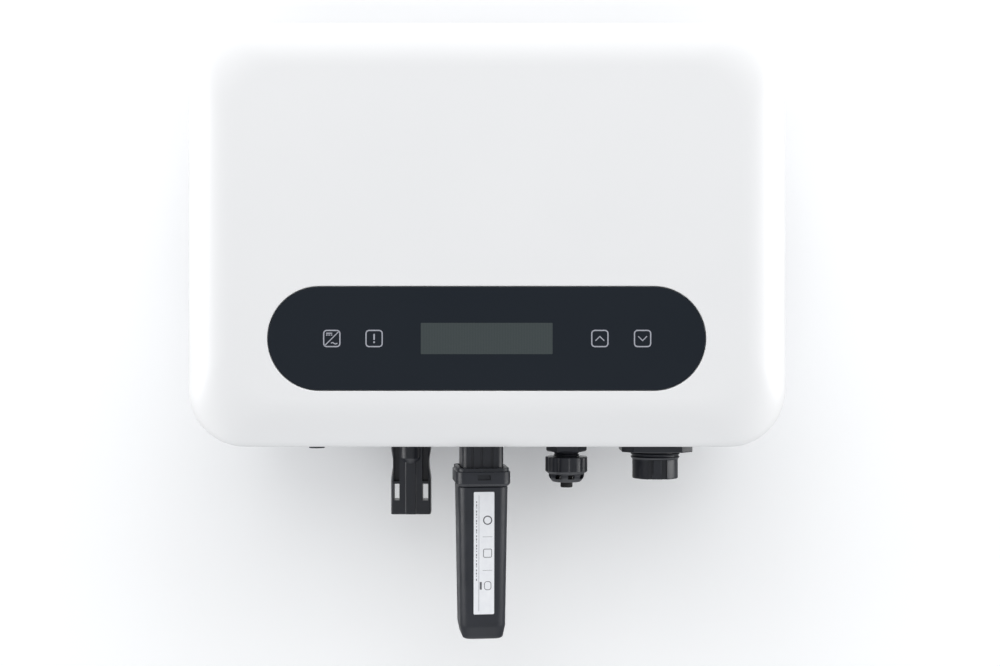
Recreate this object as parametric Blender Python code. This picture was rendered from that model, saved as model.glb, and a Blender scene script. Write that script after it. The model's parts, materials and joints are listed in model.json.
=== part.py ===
"""Small wall-mounted single-phase string inverter.

Frame: metres, +Z up, the front faces -Y. The origin is on the back of the wall bracket, where it
meets the wall. Everything on the unit is placed from the centre of its body, by an empty.
"""

import math

import bmesh
import bpy
from mathutils import Vector

MM = 0.001
GAP = 0.3 * MM

# Body: overall outline and the depths of its layers, measured from the wall.
BODY_WIDTH = 290 * MM
BODY_HEIGHT = 206 * MM
BODY_CORNER = 27.5 * MM
BODY_CENTRE_Z = -20 * MM
COVER_FRONT_Y = -123 * MM
COVER_REAR_Y = -88 * MM
COVER_WALL = 3.2 * MM
FLANGE_FRONT_Y = -86 * MM
FLANGE_REAR_Y = -82 * MM
BASE_FRONT_Y = -26 * MM
BASE_REAR_Y = -22 * MM
FIN_TIP_Y = -3 * MM
PAD_Y = -13.5 * MM
POCKET_Y = -14.2 * MM

# Front edge of the cover: how far the rounding reaches in from the side and back from the face.
ROUND_INSET = 24 * MM
ROUND_DEPTH = 22 * MM
ROUND_STEPS = 5
FACE_CORNER = 24 * MM

# Rear tray: narrower than its flange, so that the corner screws pass outside its walls.
FLANGE_INSET = 1.5 * MM
FLANGE_CORNER = 26 * MM
TRAY_WIDTH = 279 * MM
TRAY_HEIGHT = 202.4 * MM
TRAY_CORNER = 40 * MM
TRAY_WALL = 3 * MM
UNDERSIDE = -TRAY_HEIGHT / 2
SCREW_X = 132.6 * MM
SCREW_Z = 90.6 * MM

# Display window, its pocket in the cover and what sits behind it.
WINDOW_WIDTH = 207 * MM
WINDOW_HEIGHT = 49 * MM
WINDOW_Z = -50.2 * MM
WINDOW_RECESS = 0.3 * MM
WINDOW_THICK = 1.0 * MM
POCKET_DEPTH = 2.0 * MM
SEAL_WIDTH = 3 * MM
LCD_WIDTH = 62.4 * MM
LCD_HEIGHT = 14.9 * MM
LIGHT_X = (-73.2 * MM, -53.2 * MM)
KEY_X = (53.5 * MM, 73.7 * MM)

# Cooling fins on the back, with shorter ones where the bracket and rail fit.
FIN_COUNT = 23
FIN_PITCH = 10 * MM
FIN_THICK = 2.4 * MM
FIN_SLOPE = 8 * MM
POCKET_HALF_WIDTH = 86 * MM
POCKET_LOW = -15 * MM
POCKET_HIGH = 66 * MM

# Wall bracket and hanging rail. Heights here are from the origin, not from the body's centre.
PLATE_WIDTH = 150 * MM
PLATE_HEIGHT = 70 * MM
PLATE_THICK = 2 * MM
TONGUE_X = 45 * MM
TONGUE_WIDTH = 26 * MM
TONGUE_BASE_Z = 4 * MM
TONGUE_TOP_Z = 20 * MM
WALL_HOLE_X = 66 * MM
WALL_HOLE_Z = 24 * MM
WALL_HOLE_R = 4 * MM
TAB_X = 126 * MM
LOCK_Y = -11.5 * MM
RAIL_SCREW_X = 70 * MM
RAIL_SCREW_Z = 34 * MM

# Fittings under the unit: places across the underside and the row's depth.
ROW_Y = -40 * MM
DC_POSITIVE_X = -40.6 * MM
DC_NEGATIVE_X = -3.8 * MM
GLAND_X = 41.5 * MM
AC_X = 88.4 * MM
VENT_X = -90.6 * MM
DONGLE_X = -3.4 * MM
DONGLE_Y = -69 * MM
DONGLE_TURN = math.radians(6.5)
FITTING_TOP = UNDERSIDE - GAP

# Direct-current socket.
DC_WIDTH = 20.8 * MM
DC_WAIST = 19 * MM
DC_DEPTH = 11 * MM
DC_END = -143 * MM
DC_BORE_R = 4.2 * MM
DC_SPIGOT_R = 6.2 * MM

# Cable gland with a blanking pin.
GLAND_HEX = 21.6 * MM
GLAND_NECK_R = 6.8 * MM
GLAND_BORE_R = 4.2 * MM
GLAND_NUT_R = 11.2 * MM
GLAND_NUT_TOP = -112.9 * MM
GLAND_NUT_SHOULDER = -121.5 * MM
GLAND_NUT_END = -126.2 * MM
GLAND_PIN_R = 3.2 * MM

# Alternating-current socket.
AC_FLANGE_WIDTH = 36.8 * MM
AC_FLANGE_DEPTH = 33 * MM
AC_FLANGE_CHAMFER = 6 * MM
AC_FLANGE_END = -109.8 * MM
AC_BODY_R = 12 * MM
AC_END = -124.2 * MM

# Plug-in radio dongle and its port.
NECK_SIZE = (20.7 * MM, 26 * MM)
NECK_END = -121.2 * MM
COLLAR_SIZE = (27.2 * MM, 34 * MM)
COLLAR_TOP = -115.2 * MM
COLLAR_END = -123 * MM
CASE_TOP = -124.5 * MM
CASE_END = -201 * MM
CASE_TOP_SIZE = (25 * MM, 31 * MM)
CASE_END_SIZE = (22.8 * MM, 28 * MM)
CASE_WALL = 1.6 * MM
LABEL_SIZE = (10.3 * MM, 61.3 * MM)
LABEL_TOP = -126.9 * MM

# Main circuit board.
BOARD_FRONT_Y = -46 * MM
BOARD_REAR_Y = -44.4 * MM


def clear_scene():
    for obj in list(bpy.data.objects):
        bpy.data.objects.remove(obj, do_unlink=True)


def material(name, colour, roughness, metallic=0.0):
    """A Principled BSDF material, made once for each name."""
    found = bpy.data.materials.get(name)
    if found:
        return found
    made = bpy.data.materials.new(name)
    made.use_nodes = True
    shader = made.node_tree.nodes["Principled BSDF"]
    shader.inputs["Base Color"].default_value = (*colour, 1.0)
    shader.inputs["Roughness"].default_value = roughness
    shader.inputs["Metallic"].default_value = metallic
    return made


def white_paint():
    return material("white_paint", (0.83, 0.83, 0.84), 0.45)


def cast_aluminium():
    return material("cast_aluminium", (0.42, 0.43, 0.45), 0.5, 0.9)


def galvanised_steel():
    return material("galvanised_steel", (0.60, 0.61, 0.62), 0.38, 1.0)


def bright_steel():
    return material("bright_steel", (0.70, 0.70, 0.70), 0.28, 1.0)


def dark_glass():
    return material("dark_glass", (0.014, 0.019, 0.025), 0.12)


def black_plastic():
    return material("black_plastic", (0.028, 0.031, 0.037), 0.42)


def black_rubber():
    return material("black_rubber", (0.02, 0.02, 0.02), 0.75)


def label_paper():
    return material("label_paper", (0.80, 0.81, 0.82), 0.5)


def circuit_board():
    return material("circuit_board", (0.03, 0.16, 0.07), 0.45)


def capacitor_sleeve():
    return material("capacitor_sleeve", (0.02, 0.03, 0.07), 0.35)


def ferrite():
    return material("ferrite", (0.10, 0.10, 0.11), 0.6)


def copper_winding():
    return material("copper_winding", (0.62, 0.28, 0.10), 0.35, 0.8)


def moulded_blue():
    return material("moulded_blue", (0.05, 0.11, 0.35), 0.5)


def brass():
    return material("brass", (0.70, 0.52, 0.22), 0.3, 1.0)


def red_lead():
    return material("red_lead", (0.45, 0.03, 0.02), 0.5)


def clear_plastic():
    return material("clear_plastic", (0.75, 0.78, 0.80), 0.2)


def lcd_panel():
    return material("lcd_panel", (0.07, 0.09, 0.09), 0.15)


def empty(name, location, parent=None, turn=0.0):
    made = bpy.data.objects.new(name, None)
    made.location = location
    made.rotation_euler = (0.0, 0.0, turn)
    made.parent = parent
    bpy.context.scene.collection.objects.link(made)
    return made


def object_from(bm, name, finish, parent, location=(0, 0, 0), rotation=(0, 0, 0)):
    """Turn a bmesh into a placed object, with its faces pointing out."""
    bmesh.ops.recalc_face_normals(bm, faces=bm.faces)
    if bm.calc_volume(signed=True) < 0:
        bmesh.ops.reverse_faces(bm, faces=bm.faces)
    mesh = bpy.data.meshes.new(name)
    bm.to_mesh(mesh)
    bm.free()
    mesh.shade_smooth()
    mesh.set_sharp_from_angle(angle=math.radians(35))
    made = bpy.data.objects.new(name, mesh)
    made.data.materials.append(finish)
    made.location = location
    made.rotation_euler = rotation
    made.parent = parent
    bpy.context.scene.collection.objects.link(made)
    return made


def skin(bm, rings, closed=False):
    """Join rings of equal point count, capping the ends or joining the last to the first."""
    loops = [[bm.verts.new(point) for point in ring] for ring in rings]
    pairs = list(zip(loops, loops[1:]))
    if closed:
        pairs.append((loops[-1], loops[0]))
    else:
        bm.faces.new(loops[0])
        bm.faces.new(loops[-1])
    for first, second in pairs:
        count = len(first)
        for n in range(count):
            m = (n + 1) % count
            bm.faces.new((first[n], first[m], second[m], second[n]))


def rounded(width, height, radius, segments=6, centre=(0, 0)):
    """Points of a rounded rectangle, counter-clockwise."""
    points = []
    for quarter, (sx, sy) in enumerate(((1, 1), (-1, 1), (-1, -1), (1, -1))):
        cx = centre[0] + sx * (width / 2 - radius)
        cy = centre[1] + sy * (height / 2 - radius)
        for n in range(segments + 1):
            angle = math.radians(90) * (quarter + n / segments)
            points.append((cx + radius * math.cos(angle), cy + radius * math.sin(angle)))
    return points


def pill(width, height, segments=8, centre=(0, 0)):
    """A rectangle with fully round ends. Its radius stops just short, so no two points meet."""
    return rounded(width, height, height / 2 - 0.01 * MM, segments, centre)


def circle(radius, segments=24, centre=(0, 0)):
    angles = [math.tau * n / segments for n in range(segments)]
    return [(centre[0] + radius * math.cos(a), centre[1] + radius * math.sin(a)) for a in angles]


def rectangle(low, high):
    return [(low[0], low[1]), (high[0], low[1]), (high[0], high[1]), (low[0], high[1])]


def at_y(outline, y):
    return [(u, y, v) for u, v in outline]


def at_z(outline, z):
    return [(u, v, z) for u, v in outline]


def at_x(outline, x):
    return [(x, u, v) for u, v in outline]


def loft(name, rings, finish, parent, location=(0, 0, 0), closed=False, rotation=(0, 0, 0)):
    bm = bmesh.new()
    skin(bm, rings, closed)
    return object_from(bm, name, finish, parent, location, rotation)


def turned(name, profile, finish, parent, location=(0, 0, 0), segments=24, closed=False,
           rotation=(0, 0, 0)):
    """A round piece about Z from (radius, height) pairs; a closed profile makes a ring."""
    rings = [at_z(circle(radius, segments), height) for radius, height in profile]
    return loft(name, rings, finish, parent, location, closed, rotation)


def block(name, low, high, finish, parent, location=(0, 0, 0)):
    rings = [at_z(rectangle(low, high), low[2]), at_z(rectangle(low, high), high[2])]
    return loft(name, rings, finish, parent, location)


def blocks(name, spans, finish, parent, location=(0, 0, 0)):
    """Several separate boxes in one object, for use as a cutter or an addition."""
    bm = bmesh.new()
    for low, high in spans:
        skin(bm, [at_z(rectangle(low, high), low[2]), at_z(rectangle(low, high), high[2])])
    return object_from(bm, name, finish, parent, location)


def combine(target, other, operation):
    """Cut another object from the target, or add it, and hide that other object."""
    other.hide_render = True
    other.display_type = "WIRE"
    change = target.modifiers.new(other.name, "BOOLEAN")
    change.operation = operation
    change.object = other
    change.solver = "EXACT"


def cut(target, other):
    combine(target, other, "DIFFERENCE")


def add(target, other):
    combine(target, other, "UNION")


def soften(target, width, segments=1):
    """Bevel the sharp edges of a piece."""
    bevel = target.modifiers.new("soft_edges", "BEVEL")
    bevel.width = width
    bevel.segments = segments
    bevel.limit_method = "ANGLE"
    bevel.angle_limit = math.radians(50)


def ring_plate(name, outer, inner, near, far, finish, parent):
    """A flat frame between two outlines of equal point count, standing across Y."""
    rings = [at_y(outer, near), at_y(outer, far), at_y(inner, far), at_y(inner, near)]
    return loft(name, rings, finish, parent, closed=True)


def smooth_route(points, per_span=3):
    """Points along a Catmull-Rom curve through the route's own points."""
    ends = [points[0] * 2 - points[1]] + list(points) + [points[-1] * 2 - points[-2]]
    route = []
    for n in range(1, len(ends) - 2):
        p0, p1, p2, p3 = ends[n - 1:n + 3]
        for step in range(per_span):
            t = step / per_span
            route.append(0.5 * (2 * p1 + (p2 - p0) * t + (2 * p0 - 5 * p1 + 4 * p2 - p3) * t ** 2
                                + (3 * p1 - p0 - 3 * p2 + p3) * t ** 3))
    route.append(points[-1])
    return route


def tube(name, points, radius, finish, parent, resolution=1):
    """A wire along points, with closed ends."""
    curve = bpy.data.curves.new(name, "CURVE")
    curve.dimensions = "3D"
    curve.bevel_depth = radius
    curve.bevel_resolution = resolution
    curve.use_fill_caps = True
    spline = curve.splines.new("POLY")
    spline.points.add(len(points) - 1)
    for place, point in zip(spline.points, points):
        place.co = (*point, 1.0)
    curve.materials.append(finish)
    made = bpy.data.objects.new(name, curve)
    made.parent = parent
    bpy.context.scene.collection.objects.link(made)
    return made


def lead(name, route, radius, finish, parent):
    points = [Vector(point) * MM for point in route]
    return tube(name, smooth_route(points), radius, finish, parent)


# ---------------------------------------------------------------- front cover and display

def cover_outline(inset):
    share = inset / ROUND_INSET
    radius = BODY_CORNER + (FACE_CORNER - BODY_CORNER) * share
    return rounded(BODY_WIDTH - 2 * inset, BODY_HEIGHT - 2 * inset, radius, 6)


def rounded_front(offset):
    """Rings of the cover's rounded front edge, drawn in by the wall where offset is not 0."""
    rings = []
    for n in range(ROUND_STEPS + 1):
        angle = math.radians(90) * n / ROUND_STEPS
        inset = ROUND_INSET - (ROUND_INSET - offset) * math.cos(angle)
        depth = (ROUND_DEPTH - offset) * math.sin(angle)
        rings.append(at_y(cover_outline(inset), COVER_FRONT_Y + ROUND_DEPTH - depth))
    return rings


def front_cover(parent):
    lip_inset = 11 * MM
    lip_thick = 3 * MM
    lip = rounded(BODY_WIDTH - 2 * lip_inset, BODY_HEIGHT - 2 * lip_inset, 36 * MM, 6)
    wall = cover_outline(COVER_WALL)
    rings = list(reversed(rounded_front(COVER_WALL)))
    rings.append(at_y(wall, COVER_REAR_Y - lip_thick))
    rings.append(at_y(lip, COVER_REAR_Y - lip_thick))
    rings.append(at_y(lip, COVER_REAR_Y))
    rings.append(at_y(cover_outline(0), COVER_REAR_Y))
    rings += rounded_front(0)
    cover = loft("front_cover", rings, white_paint(), parent)
    for name, width, height, depth in (
            ("window_pocket", WINDOW_WIDTH + 2 * GAP, WINDOW_HEIGHT + 2 * GAP, POCKET_DEPTH),
            ("window_opening", WINDOW_WIDTH - 6 * MM, WINDOW_HEIGHT - 6 * MM, 6 * MM)):
        outline = pill(width, height, centre=(0, WINDOW_Z))
        sides = [at_y(outline, COVER_FRONT_Y - MM), at_y(outline, COVER_FRONT_Y + depth)]
        cut(cover, loft(name, sides, white_paint(), parent))
    bosses = corner_rods("cover_bosses", 4 * MM, COVER_REAR_Y - 19 * MM, COVER_REAR_Y, parent)
    add(cover, bosses)
    holes = corner_rods("cover_screw_holes", 2.3 * MM, COVER_REAR_Y - 15 * MM,
                        COVER_REAR_Y + MM, parent)
    cut(cover, holes)
    return cover


def corner_rods(name, radius, near, far, parent, segments=16):
    """Four rods along Y at the corner screws."""
    bm = bmesh.new()
    for sx in (-1, 1):
        for sz in (-1, 1):
            outline = circle(radius, segments, (sx * SCREW_X, sz * SCREW_Z))
            skin(bm, [at_y(outline, near), at_y(outline, far)])
    return object_from(bm, name, white_paint(), parent)


def cover_screws(parent):
    """Pan-head screws driven forwards through the tray's flange into the cover."""
    number = 0
    for sz in (1, -1):
        for sx in (-1, 1):
            number += 1
            head = FLANGE_REAR_Y + GAP
            profile = ((2.0 * MM, COVER_REAR_Y - 12 * MM), (2.0 * MM, head), (3.5 * MM, head),
                       (3.5 * MM, head + 1.4 * MM), (2.6 * MM, head + 2.4 * MM))
            rings = [at_y(circle(radius, 12), y) for radius, y in profile]
            screw = loft(f"cover_screw_{number}", rings, bright_steel(), parent,
                         (sx * SCREW_X, 0, sz * SCREW_Z))
            recess = block(f"cover_screw_recess_{number}", (-1.6 * MM, head + 1.2 * MM, -0.5 * MM),
                           (1.6 * MM, head + 3 * MM, 0.5 * MM), bright_steel(), screw)
            cut(screw, recess)


def cover_gasket(parent):
    """Flat seal between the cover's lip and the tray's flange, with holes for the screws."""
    margin = 2.5 * MM
    outer = rounded(BODY_WIDTH - 2 * margin, BODY_HEIGHT - 2 * margin, BODY_CORNER - margin, 6)
    inner = rounded(271 * MM, 189 * MM, 35 * MM, 6)
    near = COVER_REAR_Y + GAP
    far = FLANGE_FRONT_Y - GAP
    gasket = ring_plate("cover_gasket", outer, inner, near, far, black_rubber(), parent)
    cut(gasket, corner_rods("gasket_holes", 2.3 * MM, near - MM, far + MM, parent, 12))


def display(parent):
    front = COVER_FRONT_Y + WINDOW_RECESS
    rear = front + WINDOW_THICK
    outline = pill(WINDOW_WIDTH, WINDOW_HEIGHT, 10, (0, WINDOW_Z))
    loft("display_window", [at_y(outline, front), at_y(outline, rear)], dark_glass(), parent)
    outer = pill(WINDOW_WIDTH - MM, WINDOW_HEIGHT - MM, 6, (0, WINDOW_Z))
    inner = pill(WINDOW_WIDTH - 2 * SEAL_WIDTH, WINDOW_HEIGHT - 2 * SEAL_WIDTH, 6, (0, WINDOW_Z))
    seal_near = rear + 0.2 * MM
    ring_plate("window_seal", outer, inner, seal_near, seal_near + 0.3 * MM, black_rubber(), parent)

    glass_front = seal_near + 0.5 * MM
    centre = (0, 0, WINDOW_Z)
    half_w = LCD_WIDTH / 2
    half_h = LCD_HEIGHT / 2
    frame = block("lcd_frame", (-38 * MM, glass_front, -13 * MM),
                  (38 * MM, glass_front + 5 * MM, 13 * MM), black_plastic(), parent, centre)
    opening = block("lcd_opening", (-half_w - GAP, glass_front - MM, -half_h - GAP),
                    (half_w + GAP, glass_front + 6 * MM, half_h + GAP), black_plastic(),
                    parent, centre)
    cut(frame, opening)
    block("lcd_glass", (-half_w, glass_front, -half_h), (half_w, glass_front + 1.8 * MM, half_h),
          lcd_panel(), parent, centre)

    board_near = glass_front + 5 * MM + GAP
    block("display_board", (-95 * MM, board_near, -19 * MM), (95 * MM, board_near + 1.6 * MM, 19 * MM),
          circuit_board(), parent, centre)
    for name, x in zip(("status_light_guide", "fault_light_guide"), LIGHT_X):
        rings = [at_y(rounded(7 * MM, 7 * MM, 1.5 * MM, 3), y)
                 for y in (glass_front, board_near - GAP)]
        loft(name, rings, clear_plastic(), parent, (x, 0, WINDOW_Z))
    for name, x in zip(("up_key_spring", "down_key_spring"), KEY_X):
        touch_spring(name, x, glass_front, board_near - GAP, parent)
    return board_near


def touch_spring(name, x, near, far, parent):
    """The sensing coil of a touch key, between the board and the window."""
    wire = 0.3 * MM
    turns = 3
    steps = 8
    radius = 3 * MM
    length = far - near - 2 * wire
    points = []
    for n in range(turns * steps + 1):
        angle = math.tau * n / steps
        y = near + wire + length * n / (turns * steps)
        points.append(Vector((x + radius * math.cos(angle), y, WINDOW_Z + radius * math.sin(angle))))
    tube(name, points, wire, bright_steel(), parent, 0)


# ---------------------------------------------------------------- rear housing

def tray_half_height(x):
    """Half the tray's height at a distance from its middle, inside its corner arcs."""
    past = abs(x) - (TRAY_WIDTH / 2 - TRAY_CORNER)
    straight = TRAY_HEIGHT / 2 - TRAY_CORNER
    if past <= 0:
        return TRAY_HEIGHT / 2
    return straight + math.sqrt(TRAY_CORNER ** 2 - past ** 2)


def fin_outline(x):
    """Side view of one fin: sloped ends, and a step down where the bracket and rail fit."""
    root = BASE_REAR_Y - 1.5 * MM
    reach = tray_half_height(x) - 3 * MM
    tip = reach - FIN_SLOPE
    points = [(root, -reach), (BASE_REAR_Y, -reach), (FIN_TIP_Y, -tip)]
    if abs(x) < POCKET_HALF_WIDTH:
        points += [(FIN_TIP_Y, POCKET_LOW), (POCKET_Y, POCKET_LOW),
                   (POCKET_Y, POCKET_HIGH), (FIN_TIP_Y, POCKET_HIGH)]
    points += [(FIN_TIP_Y, tip), (BASE_REAR_Y, reach), (root, reach)]
    return points


def cooling_fins(parent):
    bm = bmesh.new()
    for n in range(FIN_COUNT):
        x = (n - (FIN_COUNT - 1) / 2) * FIN_PITCH
        outline = fin_outline(x)
        skin(bm, [at_x(outline, x - FIN_THICK / 2), at_x(outline, x + FIN_THICK / 2)])
    return object_from(bm, "cooling_fins", cast_aluminium(), parent)


def rear_bosses(parent):
    """Pads for the hanging rail's screws and for the lock screw, on the back of the tray."""
    bm = bmesh.new()
    for sx in (-1, 1):
        outline = circle(5.5 * MM, 16, (sx * RAIL_SCREW_X, RAIL_SCREW_Z - BODY_CENTRE_Z))
        skin(bm, [at_y(outline, BASE_REAR_Y - MM), at_y(outline, PAD_Y)])
    low = (114 * MM, BASE_REAR_Y - MM, -8 * MM - BODY_CENTRE_Z)
    high = (TAB_X - 0.5 * MM, LOCK_Y + 5 * MM, 8 * MM - BODY_CENTRE_Z)
    skin(bm, [at_z(rectangle(low, high), low[2]), at_z(rectangle(low, high), high[2])])
    return object_from(bm, "rear_bosses", cast_aluminium(), parent)


def board_bosses(parent):
    """Pillars inside the tray that carry the main board."""
    bm = bmesh.new()
    for sx in (-1, 1):
        for z in (-68 * MM, 74 * MM):
            outline = circle(4 * MM, 12, (sx * 104 * MM, z))
            skin(bm, [at_y(outline, BASE_FRONT_Y + MM), at_y(outline, BOARD_REAR_Y + GAP)])
    return object_from(bm, "board_bosses", cast_aluminium(), parent)


def underside_holes(parent):
    bm = bmesh.new()
    holes = ((DC_POSITIVE_X, ROW_Y, DC_SPIGOT_R), (DC_NEGATIVE_X, ROW_Y, DC_SPIGOT_R),
             (GLAND_X, ROW_Y, DC_SPIGOT_R), (AC_X, ROW_Y, 11 * MM), (VENT_X, ROW_Y, 3 * MM),
             (DONGLE_X, DONGLE_Y, 8.7 * MM))
    for x, y, radius in holes:
        outline = circle(radius + GAP, 24, (x, y))
        skin(bm, [at_z(outline, UNDERSIDE - 2 * MM), at_z(outline, UNDERSIDE + 6 * MM)])
    return object_from(bm, "underside_holes", cast_aluminium(), parent)


def rear_screw_holes(parent):
    """Holes for the rail screws, the lock screw and the earth screw."""
    bm = bmesh.new()
    for sx in (-1, 1):
        outline = circle(2.3 * MM, 12, (sx * RAIL_SCREW_X, RAIL_SCREW_Z - BODY_CENTRE_Z))
        skin(bm, [at_y(outline, PAD_Y - 8 * MM), at_y(outline, PAD_Y + MM)])
    outline = circle(2.3 * MM, 12, (LOCK_Y, -BODY_CENTRE_Z))
    skin(bm, [at_x(outline, TAB_X - 10 * MM), at_x(outline, TAB_X + MM)])
    outline = circle(2.3 * MM, 12, (-52 * MM, -60 * MM))
    skin(bm, [at_x(outline, TRAY_WIDTH / 2 - 6 * MM), at_x(outline, TRAY_WIDTH / 2 + 6 * MM)])
    return object_from(bm, "rear_screw_holes", cast_aluminium(), parent)


def rear_housing(parent):
    """Cast tray: cavity, flange, walls, base, fins behind and holes for every fitting."""
    cavity = rounded(TRAY_WIDTH - 2 * TRAY_WALL, TRAY_HEIGHT - 2 * TRAY_WALL,
                     TRAY_CORNER - TRAY_WALL, 6)
    flange = rounded(BODY_WIDTH - 2 * FLANGE_INSET, BODY_HEIGHT - 2 * FLANGE_INSET,
                     FLANGE_CORNER, 6)
    walls = rounded(TRAY_WIDTH, TRAY_HEIGHT, TRAY_CORNER, 6)
    rings = [at_y(cavity, BASE_FRONT_Y), at_y(cavity, FLANGE_FRONT_Y), at_y(flange, FLANGE_FRONT_Y),
             at_y(flange, FLANGE_REAR_Y), at_y(walls, FLANGE_REAR_Y), at_y(walls, BASE_REAR_Y)]
    housing = loft("rear_housing", rings, cast_aluminium(), parent)
    add(housing, cooling_fins(parent))
    add(housing, rear_bosses(parent))
    add(housing, board_bosses(parent))
    cut(housing, underside_holes(parent))
    cut(housing, rear_screw_holes(parent))
    cut(housing, corner_rods("flange_holes", 2.3 * MM, FLANGE_FRONT_Y - MM, FLANGE_REAR_Y + MM,
                             parent))
    return housing


def earth_screw(parent):
    """Earthing screw on the tray's right side."""
    face = GAP
    profile = ((2.0 * MM, -7 * MM), (2.0 * MM, face), (4.4 * MM, face), (4.4 * MM, face + 0.8 * MM),
               (3.4 * MM, face + 0.8 * MM), (3.4 * MM, face + 2.6 * MM), (2.6 * MM, face + 3.2 * MM))
    screw = turned("earth_screw", profile, bright_steel(), parent,
                   (TRAY_WIDTH / 2, -52 * MM, -60 * MM), 16, rotation=(0, math.radians(90), 0))
    recess = block("earth_screw_recess", (-2.2 * MM, -0.5 * MM, face + 1.6 * MM),
                   (2.2 * MM, 0.5 * MM, face + 4 * MM), bright_steel(), screw)
    cut(screw, recess)


# ---------------------------------------------------------------- bracket and rail

def wall_bracket():
    """Plate for the wall with two tongues that the unit hangs on and a tab for its lock screw."""
    outline = rounded(PLATE_WIDTH, PLATE_HEIGHT, 5 * MM, 4)
    bracket = loft("wall_bracket", [at_y(outline, -PLATE_THICK), at_y(outline, 0)],
                   galvanised_steel(), None)
    tongue_y = -9 * MM
    outline = [(tongue_y, TONGUE_BASE_Z), (-MM, TONGUE_BASE_Z),
               (-MM, TONGUE_BASE_Z + PLATE_THICK), (tongue_y + PLATE_THICK, TONGUE_BASE_Z + PLATE_THICK),
               (tongue_y + PLATE_THICK, TONGUE_TOP_Z), (tongue_y, TONGUE_TOP_Z)]
    bm = bmesh.new()
    for sx in (-1, 1):
        x = sx * TONGUE_X
        skin(bm, [at_x(outline, x - TONGUE_WIDTH / 2), at_x(outline, x + TONGUE_WIDTH / 2)])
    add(bracket, object_from(bm, "tongues", galvanised_steel(), None))

    arm = [(PLATE_WIDTH / 2 - 4 * MM, 0.0), (PLATE_WIDTH / 2 - 4 * MM, -PLATE_THICK),
           (TAB_X, -PLATE_THICK), (TAB_X, LOCK_Y - 5 * MM),
           (TAB_X + PLATE_THICK, LOCK_Y - 5 * MM), (TAB_X + PLATE_THICK, 0.0)]
    arm_height = 10 * MM
    side = loft("lock_arm", [at_z(arm, -arm_height), at_z(arm, arm_height)],
                galvanised_steel(), None)
    add(bracket, side)
    slot = block("lock_slot", (TAB_X - 2 * MM, LOCK_Y - 2.5 * MM, -2.5 * MM),
                 (TAB_X + 4 * MM, LOCK_Y + 2.5 * MM, arm_height + MM), galvanised_steel(), None)
    cut(bracket, slot)

    bm = bmesh.new()
    for sx in (-1, 1):
        for sz in (-1, 1):
            hole = circle(WALL_HOLE_R, 20, (sx * WALL_HOLE_X, sz * WALL_HOLE_Z))
            skin(bm, [at_y(hole, -PLATE_THICK - MM), at_y(hole, MM)])
    cut(bracket, object_from(bm, "wall_screw_holes", galvanised_steel(), None))
    return bracket


def lock_screw(parent):
    """Screw from the side through the bracket's slot into the unit."""
    start = TAB_X + PLATE_THICK + GAP
    profile = ((2.0 * MM, TAB_X - 9 * MM), (2.0 * MM, start), (4.5 * MM, start),
               (4.5 * MM, start + MM), (3.5 * MM, start + MM), (3.5 * MM, start + 3.4 * MM),
               (2.8 * MM, start + 4 * MM))
    screw = turned("lock_screw", profile, bright_steel(), parent, (0, LOCK_Y, -BODY_CENTRE_Z), 16,
                   rotation=(0, math.radians(90), 0))
    recess = block("lock_screw_recess", (-2.4 * MM, -0.5 * MM, start + 2.4 * MM),
                   (2.4 * MM, 0.5 * MM, start + 5 * MM), bright_steel(), screw)
    cut(screw, recess)


def hanging_rail(parent):
    """Steel rail on the unit's back, with lips that drop behind the bracket's tongues."""
    plate_near = PAD_Y + GAP
    plate_far = plate_near + 1.5 * MM
    low_z = 7.5 * MM - BODY_CENTRE_Z
    high_z = 42 * MM - BODY_CENTRE_Z
    web_z = TONGUE_TOP_Z + GAP - BODY_CENTRE_Z
    rail = block("hanging_rail", (-80 * MM, plate_near, low_z), (80 * MM, plate_far, high_z),
                 galvanised_steel(), parent)
    lip_far = -3.5 * MM
    outline = [(plate_near + 0.7 * MM, web_z), (lip_far - 2 * MM, web_z), (lip_far - 2 * MM, low_z),
               (lip_far, low_z), (lip_far, web_z + 2 * MM), (plate_near + 0.7 * MM, web_z + 2 * MM)]
    bm = bmesh.new()
    for sx in (-1, 1):
        x = sx * TONGUE_X
        half = 15 * MM
        skin(bm, [at_x(outline, x - half), at_x(outline, x + half)])
    add(rail, object_from(bm, "rail_lips", galvanised_steel(), parent))
    bm = bmesh.new()
    for sx in (-1, 1):
        hole = circle(2.3 * MM, 12, (sx * RAIL_SCREW_X, RAIL_SCREW_Z - BODY_CENTRE_Z))
        skin(bm, [at_y(hole, plate_near - MM), at_y(hole, plate_far + MM)])
    cut(rail, object_from(bm, "rail_screw_holes", galvanised_steel(), parent))
    for name, sx in (("rail_screw_left", -1), ("rail_screw_right", 1)):
        head = plate_far + GAP
        profile = ((2.0 * MM, PAD_Y - 7 * MM), (2.0 * MM, head), (3.6 * MM, head),
                   (3.6 * MM, head + 1.4 * MM), (2.6 * MM, head + 2.2 * MM))
        rings = [at_y(circle(radius, 12), y) for radius, y in profile]
        screw = loft(name, rings, bright_steel(), parent,
                     (sx * RAIL_SCREW_X, 0, RAIL_SCREW_Z - BODY_CENTRE_Z))
        recess = block(name + "_recess", (-1.6 * MM, head + 1.2 * MM, -0.5 * MM),
                       (1.6 * MM, head + 3 * MM, 0.5 * MM), bright_steel(), screw)
        cut(screw, recess)


# ---------------------------------------------------------------- fittings under the unit

def hexagon(across_corners, turn=0.0):
    radius = across_corners / 2
    angles = [math.radians(60) * n + turn for n in range(6)]
    return [(radius * math.cos(a), radius * math.sin(a)) for a in angles]


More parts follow.
